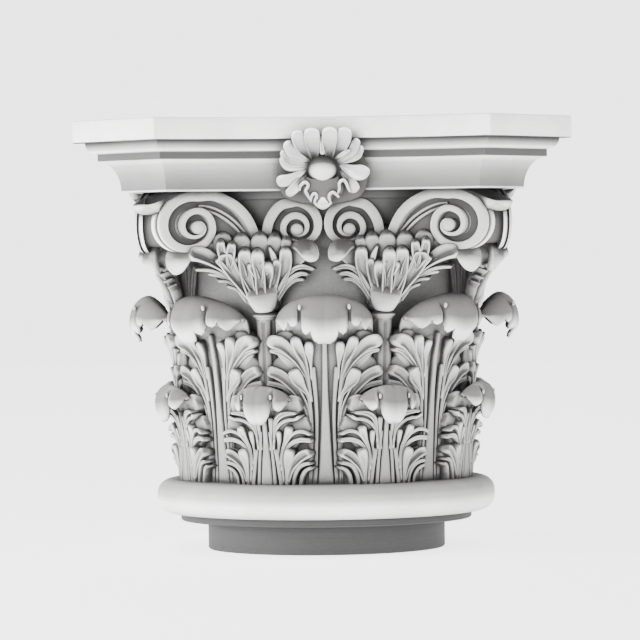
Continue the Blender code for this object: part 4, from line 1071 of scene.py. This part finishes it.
flower_parts += [
    # rims that loop over the eyes
    looped([(-21.7, -19.1, 6), (-20.8, -14.9, 7), (-16.5, -11.6, 8), (-13.7, -14.9, 7.5),
            (-16.1, -19.6, 7), (-14.2, -23.9, 6.5), (-11.3, -28.6, 6)], [0.9, 1.5, 1.6, 1.6, 1.6, 1.5, 1.1]),
    looped([(-11.3, -29.5, 6), (-10.4, -24.8, 7), (-7.6, -22.3, 8), (-5.7, -25.3, 7.5),
            (-7.3, -28.6, 7), (-7.6, -31.9, 6.5)], [0.9, 1.5, 1.6, 1.6, 1.5, 1.1]),
    looped([(7.6, -31.9, 6.5), (6, -27.6, 7), (6.3, -23.9, 7.5), (9.3, -21.4, 8),
            (12.6, -23.5, 7), (15.1, -26.2, 6)], [0.9, 1.5, 1.6, 1.6, 1.5, 1.1]),
    looped([(13.7, -22.9, 6), (15.8, -18.7, 7), (15.8, -13, 7.5), (19.4, -10, 8),
            (22.2, -13, 7.5), (24.4, -18.2, 7), (26, -20.8, 6)], [0.9, 1.5, 1.6, 1.6, 1.6, 1.5, 1.1]),
    # the hem below, turned out to a point in the middle
    looped([(-7.8, -31.0, 6.0), (-5.2, -33.6, 7.2), (0.0, -35.6, 7.8), (5.2, -33.6, 7.2), (7.8, -31.0, 6.0)],
           [1.1, 1.5, 2.0, 1.5, 1.1], 16),
    strip([(0.0, -34.6, 8.0), (0.0, -31.4, 8.2), (0.0, -25.4, 7.0)],
          [4.6, 5.4, 1.4], high=2.0, hollow=-0.6, sunk=4.0, tip=0.8),
]
# the button stands on its own in the middle, round like a berry
button = [dome(BUTTON, 17.0, lambda x, y, height: (x, y, height - 3.5), rows=20, sides=48)]


def in_flower(name, shapes):
    """A piece of the flower, leaning back from the side of the slab, once on each side."""
    points, faces = gather(shapes)
    leaning = [(x, -(FLOWER_OUT + FLOWER_LEAN * y + z), FLOWER_HEIGHT + y) for x, y, z in points]
    return make_piece(name, *copies((leaning, faces)))


flowers = in_flower("flowers", flower_parts)
flower_grounds = in_flower("flower_grounds", grounds)
buttons = in_flower("flower_buttons", button)
print("flowers", count(flowers), "grounds", count(flower_grounds), "buttons", count(buttons))

# %% [markdown]
# ## Cast plaster
# The real surface is gypsum plaster, cast in a mould, scraped and sealed with thin matt white
# paint: chalky, with no gloss, in soft blotches where it drew in more or less water, and with
# a pinhole here and there. Light and shade are painted into its colour as well. Painted shade
# fills the hollows, which ambient occlusion finds. Faces are painted grey as shade, and lighter
# or darker by the way they look, which the normal tells, as if lit from below. Rims get a
# painted white highlight, which Pointiness finds. On the turned core and the slab, painted
# shade and light go by height. All finishes are one plaster with different amounts of these.

# %% Colours and nodes
# the plaster's own two whites, then the greys that faces are painted as shade, lightest on the scrolls and
# petals and deepest on the fields and flower grounds, and last the grey of the painted shade in hollows
CLEAN_WHITE = "#F4F4F2"
BLOTCH_WHITE = "#E9E8E6"
LIGHT_FACE = "#B4B3B1"
PETAL_FACE = "#BDBCBB"
SHADED_FACE = "#5F5E5D"
CUP_FACE = "#4D4C4B"
DEEP_SHADE_FACE = "#4A4948"
HOLLOW_SHADE_GREY = "#353434"


def linear(code):
    """The linear colour of an sRGB hex code."""
    parts = [int(code[place:place + 2], 16) / 255.0 for place in (1, 3, 5)]
    return [part / 12.92 if part <= 0.04045 else ((part + 0.055) / 1.055) ** 2.4 for part in parts] + [1.0]


def add(tree, kind, settings=None, values=None, links=None):
    """A new node, with its settings, its input values and the sockets that feed it."""
    node = tree.nodes.new(kind)
    for name, value in (settings or {}).items():
        setattr(node, name, value)
    for name, value in (values or {}).items():
        node.inputs[name].default_value = value
    for name, socket in (links or {}).items():
        tree.links.new(socket, node.inputs[name])
    return node


def ramp(node, stops):
    """Set the stops of a colour ramp: (place, shade) pairs, a shade being a grey or a colour."""
    line = node.color_ramp
    while len(line.elements) < len(stops):
        line.elements.new(1.0)
    for element, (place, shade) in zip(line.elements, stops):
        element.position = place
        element.color = shade if isinstance(shade, list) else (shade, shade, shade, 1.0)
    return node.outputs["Color"]


# %% Painted shade and light on the mouldings, by height
# How light the mouldings are painted at each height in mm: painted shade under the face of
# the slab, in the fillet and on the bell under the slab, painted light on the edges of the
# ovolo and the cavetto and on the lower half of the torus, and the plug and shoulder painted
# darkest. A zone has its own ramp, because one ramp over the whole height would blur the thin
# lines.
PAINTED_SHADE_ZONES = (
    ((0.0, 0.040), (28.0, 0.036), (36.6, 0.055), (37.4, 0.95), (49.0, 0.90), (56.0, 0.46), (63.0, 0.36),
     (70.0, 0.42), (79.0, 0.30)),
    ((79.0, 0.30), (250.0, 0.34), (300.0, 0.26), (322.0, 0.10), (350.0, 0.06)),
    ((350.0, 0.06), (352.3, 0.05), (352.6, 0.80), (353.8, 0.75), (354.6, 0.14), (362.0, 0.18), (370.0, 0.27),
     (378.0, 0.46), (381.6, 0.90), (382.5, 0.95), (382.8, 0.12), (383.4, 0.06), (388.6, 0.06), (389.5, 0.14),
     (389.9, 0.90), (391.0, 0.95), (393.5, 0.42), (397.0, 0.16), (399.2, 0.05), (399.6, 0.012),
         (400.8, 0.012),
     (401.1, 0.95), (421.2, 0.95)),
)


def painted_by_height(tree, place, white):
    """White plaster with painted shade and light that go by height."""
    height = add(tree, "ShaderNodeSeparateXYZ", links={"Vector": place}).outputs["Z"]
    height_shade = None
    for zone in PAINTED_SHADE_ZONES:
        low, high = zone[0][0], zone[-1][0]
        share = add(tree, "ShaderNodeMapRange", values={1: low * MM, 2: high * MM}, links={0: height})
        tones = ramp(add(tree, "ShaderNodeValToRGB", links={"Fac": share.outputs[0]}),
                     [((level - low) / (high - low), tone) for level, tone in zone])
        if height_shade is None:
            height_shade = tones
            continue
        above_low = add(tree, "ShaderNodeMath", settings={"operation": "GREATER_THAN"},
                        values={1: low * MM}, links={0: height})
        height_shade = add(tree, "ShaderNodeMix", settings={"data_type": "RGBA"},
                   links={0: above_low.outputs[0], 6: height_shade, 7: tones}).outputs[2]
    return add(tree, "ShaderNodeMix", settings={"data_type": "RGBA", "blend_type": "MULTIPLY"},
               values={0: 1.0}, links={6: white, 7: height_shade}).outputs[2]


# %% Painted rim highlights, and painted light and shade by facing
# Pointiness where the painted rim highlight begins and is full, and the height of the normal where a face
# looking down begins to be painted lighter, as if lit from below, and is fully so
RIM_FROM, RIM_TO = 0.53, 0.60
UNDER_FROM, UNDER_TO = 0.12, -0.50


def carved(tree, white, face, above, below, level, rims):
    """White plaster: grey faces as painted shade, light by facing, and painted rim highlights."""
    bend = add(tree, "ShaderNodeNewGeometry").outputs["Pointiness"]
    # painted highlight: convex rims are painted white
    rubbed = ramp(add(tree, "ShaderNodeValToRGB", links={"Fac": bend}), [(RIM_FROM, 0.0), (RIM_TO, rims)])
    normal = add(tree, "ShaderNodeTexCoord").outputs["Normal"]
    looks = add(tree, "ShaderNodeSeparateXYZ", links={"Vector": normal}).outputs["Z"]
    # painted light and shade by facing: the face colour is scaled by how far the face looks up
    facing_shade = add(tree, "ShaderNodeMapRange", values={1: level[0], 2: level[1], 3: 1.0, 4: above},
                  links={0: looks})
    faced = add(tree, "ShaderNodeVectorMath", settings={"operation": "SCALE"},
                values={0: linear(face)[:3]}, links={"Scale": facing_shade.outputs[0]})
    # faces that look down are painted towards white, as if lit from below
    under = add(tree, "ShaderNodeMapRange", values={1: UNDER_FROM, 2: UNDER_TO, 3: 0.0, 4: below},
                links={0: looks})
    painted_light = add(tree, "ShaderNodeMath", settings={"operation": "MAXIMUM"},
                     links={0: rubbed, 1: under.outputs[0]})
    return add(tree, "ShaderNodeMix", settings={"data_type": "RGBA"},
               links={0: painted_light.outputs[0], 6: faced.outputs[0], 7: white}).outputs[2]


# %% Painted shade in the hollows
def painted_hollow_shade(tree, place, shade_stops):
    """How far a spot is out of painted shade: occlusion darkens hollows 9 mm across and deep behind the
    leaves.
    """
    narrow = add(tree, "ShaderNodeAmbientOcclusion", settings={"samples": 6}, values={"Distance": 0.009})
    deep = add(tree, "ShaderNodeAmbientOcclusion", settings={"samples": 6}, values={"Distance": 0.060})
    hollow = add(tree, "ShaderNodeMath", settings={"operation": "MULTIPLY"},
                 links={0: narrow.outputs["AO"], 1: deep.outputs["AO"]})
    grain = add(tree, "ShaderNodeTexNoise", values={"Scale": 420.0, "Detail": 2.0}, links={"Vector": place})
    speck = add(tree, "ShaderNodeMath", settings={"operation": "MULTIPLY_ADD"},
                values={1: 0.16, 2: -0.08}, links={0: grain.outputs["Fac"]})
    specked_shade = add(tree, "ShaderNodeMath", settings={"operation": "ADD"},
                 links={0: hollow.outputs[0], 1: speck.outputs[0]})
    return ramp(add(tree, "ShaderNodeValToRGB", links={"Fac": specked_shade.outputs[0]}),
                [(shade_stops[0], 0.0), (shade_stops[1], 1.0)])


# %% Tooth, scraping and pinholes
def bumps(tree, place, streaks):
    """The normal of the surface, with everything that is too low to be modelled."""

    def press(height, strength, distance, normal):
        links = {"Height": height, "Normal": normal} if normal else {"Height": height}
        return add(tree, "ShaderNodeBump", values={"Strength": strength, "Distance": distance * MM},
                   links=links).outputs["Normal"]

    # the tooth of the plaster is 0.3 mm, drawn as 1.2 mm so that it shows
    tooth = add(tree, "ShaderNodeTexNoise", values={"Scale": 800.0, "Detail": 3.0, "Roughness": 0.6},
                links={"Vector": place})
    normal = press(tooth.outputs["Fac"], 0.35, 0.4, None)
    # hand scraping, 14 mm wide
    scrape = add(tree, "ShaderNodeTexNoise", values={"Scale": 70.0, "Detail": 1.0}, links={"Vector": place})
    normal = press(scrape.outputs["Fac"], 0.5, 1.0, normal)
    # pinholes 1 mm wide, about 14 mm apart
    holes = add(tree, "ShaderNodeTexVoronoi", values={"Scale": 70.0, "Randomness": 1.0},
                links={"Vector": place})
    pit = add(tree, "ShaderNodeMapRange", values={1: 0.03, 2: 0.055, 3: 0.0, 4: 1.0},
              links={0: holes.outputs["Distance"]})
    normal = press(pit.outputs[0], 0.6, 0.6, normal)
    if streaks:
        # scores left by the template: stretched noise, close together in height only
        flat = add(tree, "ShaderNodeVectorMath", settings={"operation": "MULTIPLY"},
                   values={1: (6.0, 6.0, 420.0)}, links={0: place})
        score = add(tree, "ShaderNodeTexNoise", values={"Scale": 1.0, "Detail": 2.0},
                    links={"Vector": flat.outputs[0]})
        normal = press(score.outputs["Fac"], 0.6, streaks, normal)
    return normal


# %% Plaster
def plaster(name, face, shade_stops, streaks=0.0, above=1.0, below=0.0, level=(0.0, 0.75), rims=1.0):
    """Cast gypsum plaster. A carved one has grey faces, painted shade, and painted white
    highlights on its rims. A turned one has painted shade and light by height, and a template
    has scored it round the axis, as deep as streaks in mm.

    The shade stops are how far out of the hollows the painted shade comes, as two stops of the
    occlusion. Above and below paint light and shade by facing: above scales the face colour
    where it looks up, and below is the share of white where it looks down. Level is how far up a
    face looks, as the height of its normal, where above begins and is full, and rims is how
    white the painted rim highlight gets.
    """
    material = bpy.data.materials.new(name)
    material.use_nodes = True
    tree = material.node_tree
    shader = tree.nodes["Principled BSDF"]
    shader.inputs["Metallic"].default_value = 0.0
    shader.inputs["IOR"].default_value = 1.52
    shader.inputs["Specular IOR Level"].default_value = 0.35
    place = add(tree, "ShaderNodeTexCoord").outputs["Object"]
    # blotches about 45 mm wide, where the plaster drew in more water
    blotch = add(tree, "ShaderNodeTexNoise", values={"Scale": 22.0, "Detail": 3.0, "Roughness": 0.55},
                 links={"Vector": place})
    white = ramp(add(tree, "ShaderNodeValToRGB", links={"Fac": blotch.outputs["Fac"]}),
                 [(0.38, linear(BLOTCH_WHITE)), (0.62, linear(CLEAN_WHITE))])
    # the colour with painted light and shade: by height on turned pieces, by facing and with rim highlights
    # on carved ones
    lit_and_shaded = painted_by_height(tree, place, white) if streaks else carved(tree, white, face, above, below, level, rims)
    # painted shade: dark grey in the hollows, where occlusion finds them
    unshaded = painted_hollow_shade(tree, place, shade_stops)
    colour = add(tree, "ShaderNodeMix", settings={"data_type": "RGBA"}, values={6: linear(HOLLOW_SHADE_GREY)},
                 links={0: unshaded, 7: lit_and_shaded})
    # rougher where the hollows are painted darker
    dull = add(tree, "ShaderNodeMapRange", values={1: 0.0, 2: 1.0, 3: 0.92, 4: 0.62}, links={0: unshaded})
    tree.links.new(colour.outputs[2], shader.inputs["Base Color"])
    tree.links.new(dull.outputs[0], shader.inputs["Roughness"])
    tree.links.new(bumps(tree, place, streaks), shader.inputs["Normal"])
    return material


# %% Finishes
# each finish and the pieces that wear it
# each finish paints light and shade in its own amounts: by height on the turned one; on the others grey
# faces as shade and white rims as highlight, and by facing, so that button tops are painted dark, petals
# lighter where they look up, and undersides of leaves, cups and buttons lighter; the fields and flower
# grounds get the deepest painted shade
turned_plaster = plaster("turned_plaster", CLEAN_WHITE, (0.02, 0.85), streaks=0.5)
carved_plaster = plaster("carved_plaster", SHADED_FACE, (0.20, 0.98), above=1.6, below=0.8)
cup_plaster = plaster("cup_plaster", CUP_FACE, (0.26, 1.0), above=0.7, below=0.7)
scroll_plaster = plaster("scroll_plaster", LIGHT_FACE, (0.32, 1.0))
petal_plaster = plaster("petal_plaster", PETAL_FACE, (0.42, 0.95), above=2.3, level=(-0.42, 0.10))
button_plaster = plaster("button_plaster", CUP_FACE, (0.10, 0.80), above=0.12, below=0.8)
deep_shade_plaster = plaster("deep_shade_plaster", DEEP_SHADE_FACE, (0.15, 0.90), above=0.7, rims=0.0)
finishes = {
    core: turned_plaster, abacus: turned_plaster, face_leaves: carved_plaster, corner_leaves: carved_plaster,
    lower_leaves: carved_plaster, cups: cup_plaster, scrolls: scroll_plaster, tongues: scroll_plaster,
    scroll_fields: deep_shade_plaster, flowers: petal_plaster, flower_grounds: deep_shade_plaster,
    buttons: button_plaster,
}
for piece, finish in finishes.items():
    piece.data.materials.clear()
    piece.data.materials.append(finish)
    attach(piece, "root")
    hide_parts("capital")
    print(piece.name, "wears", piece.data.materials[0].name)

# %% [markdown]
# ## Floor, light and camera
# A pale floor and soft studio light, and a long lens from 3.6 m, level with the leaves, as in
# the photograph. The light comes from low down and all round, as on a paper sweep: the floor
# glows, and the world is bright at the horizon and dark overhead. So the undersides of the
# mouldings and the leaf tips are light, and what looks up is not.

# %% Stage
FLOOR_GLOW = 2.95
HORIZON, OVERHEAD = 3.4, 0.5
HORIZON_FROM, HORIZON_TO = 0.076, 0.26

bpy.ops.mesh.primitive_plane_add(size=14.0, location=(0.0, 0.0, 0.0))
floor = bpy.context.object
floor.name = "floor"
paper = bpy.data.materials.new("floor_paper")
paper.use_nodes = True
sheet = paper.node_tree.nodes["Principled BSDF"]
sheet.inputs["Base Color"].default_value = (0.9, 0.9, 0.9, 1.0)
sheet.inputs["Roughness"].default_value = 0.9
sheet.inputs["Emission Color"].default_value = (1.0, 1.0, 1.0, 1.0)
sheet.inputs["Emission Strength"].default_value = FLOOR_GLOW
floor.data.materials.append(paper)

world = bpy.context.scene.world or bpy.data.worlds.new("studio")
bpy.context.scene.world = world
world.use_nodes = True
background = world.node_tree.nodes["Background"]
background.inputs["Color"].default_value = (1.0, 1.0, 1.0, 1.0)
sky = add(world.node_tree, "ShaderNodeTexCoord").outputs["Generated"]
height = add(world.node_tree, "ShaderNodeSeparateXYZ", links={"Vector": sky}).outputs["Z"]
glow = add(world.node_tree, "ShaderNodeMapRange", settings={"interpolation_type": "SMOOTHSTEP"},
           values={1: HORIZON_FROM, 2: HORIZON_TO, 3: HORIZON, 4: OVERHEAD}, links={0: height})
world.node_tree.links.new(glow.outputs[0], background.inputs["Strength"])

# %% Softboxes
SOFTBOX_SIZE = 1.4
LIT = Vector((0.0, 0.0, 0.25))


def softbox(name, place, power):
    """A square area light that looks at the middle of the capital."""
    bpy.ops.object.light_add(type="AREA", location=place)
    lamp = bpy.context.object
    lamp.name = name
    lamp.data.size = SOFTBOX_SIZE
    lamp.data.energy = power
    lamp.rotation_euler = (LIT - Vector(place)).to_track_quat("-Z", "Y").to_euler()


softbox("left", (-3.2, 0.0, 0.30), 260.0)
softbox("front", (-1.3, -2.9, 0.30), 165.0)
softbox("high_left", (-1.75, -1.45, 2.5), 20.0)
softbox("right", (3.2, 0.0, 0.30), 42.0)

# %% Camera
EYE_DISTANCE = 3.6
EYE_TILT = 0.81
ROLL = 0.7
AIM_HEIGHT = 0.2265
AIM_SIDE = -0.0035
LENS = 202.5
bpy.ops.object.camera_add(
    location=(AIM_SIDE, -EYE_DISTANCE, AIM_HEIGHT + EYE_DISTANCE * math.tan(math.radians(EYE_TILT))),
    rotation=(math.radians(90.0 - EYE_TILT), math.radians(ROLL), 0.0),
)
camera = bpy.context.object
camera.data.lens = LENS
camera.data.sensor_width = 36.0
camera.data.dof.use_dof = False
bpy.context.scene.camera = camera
print("camera", LENS, "mm lens at", EYE_DISTANCE, "m")
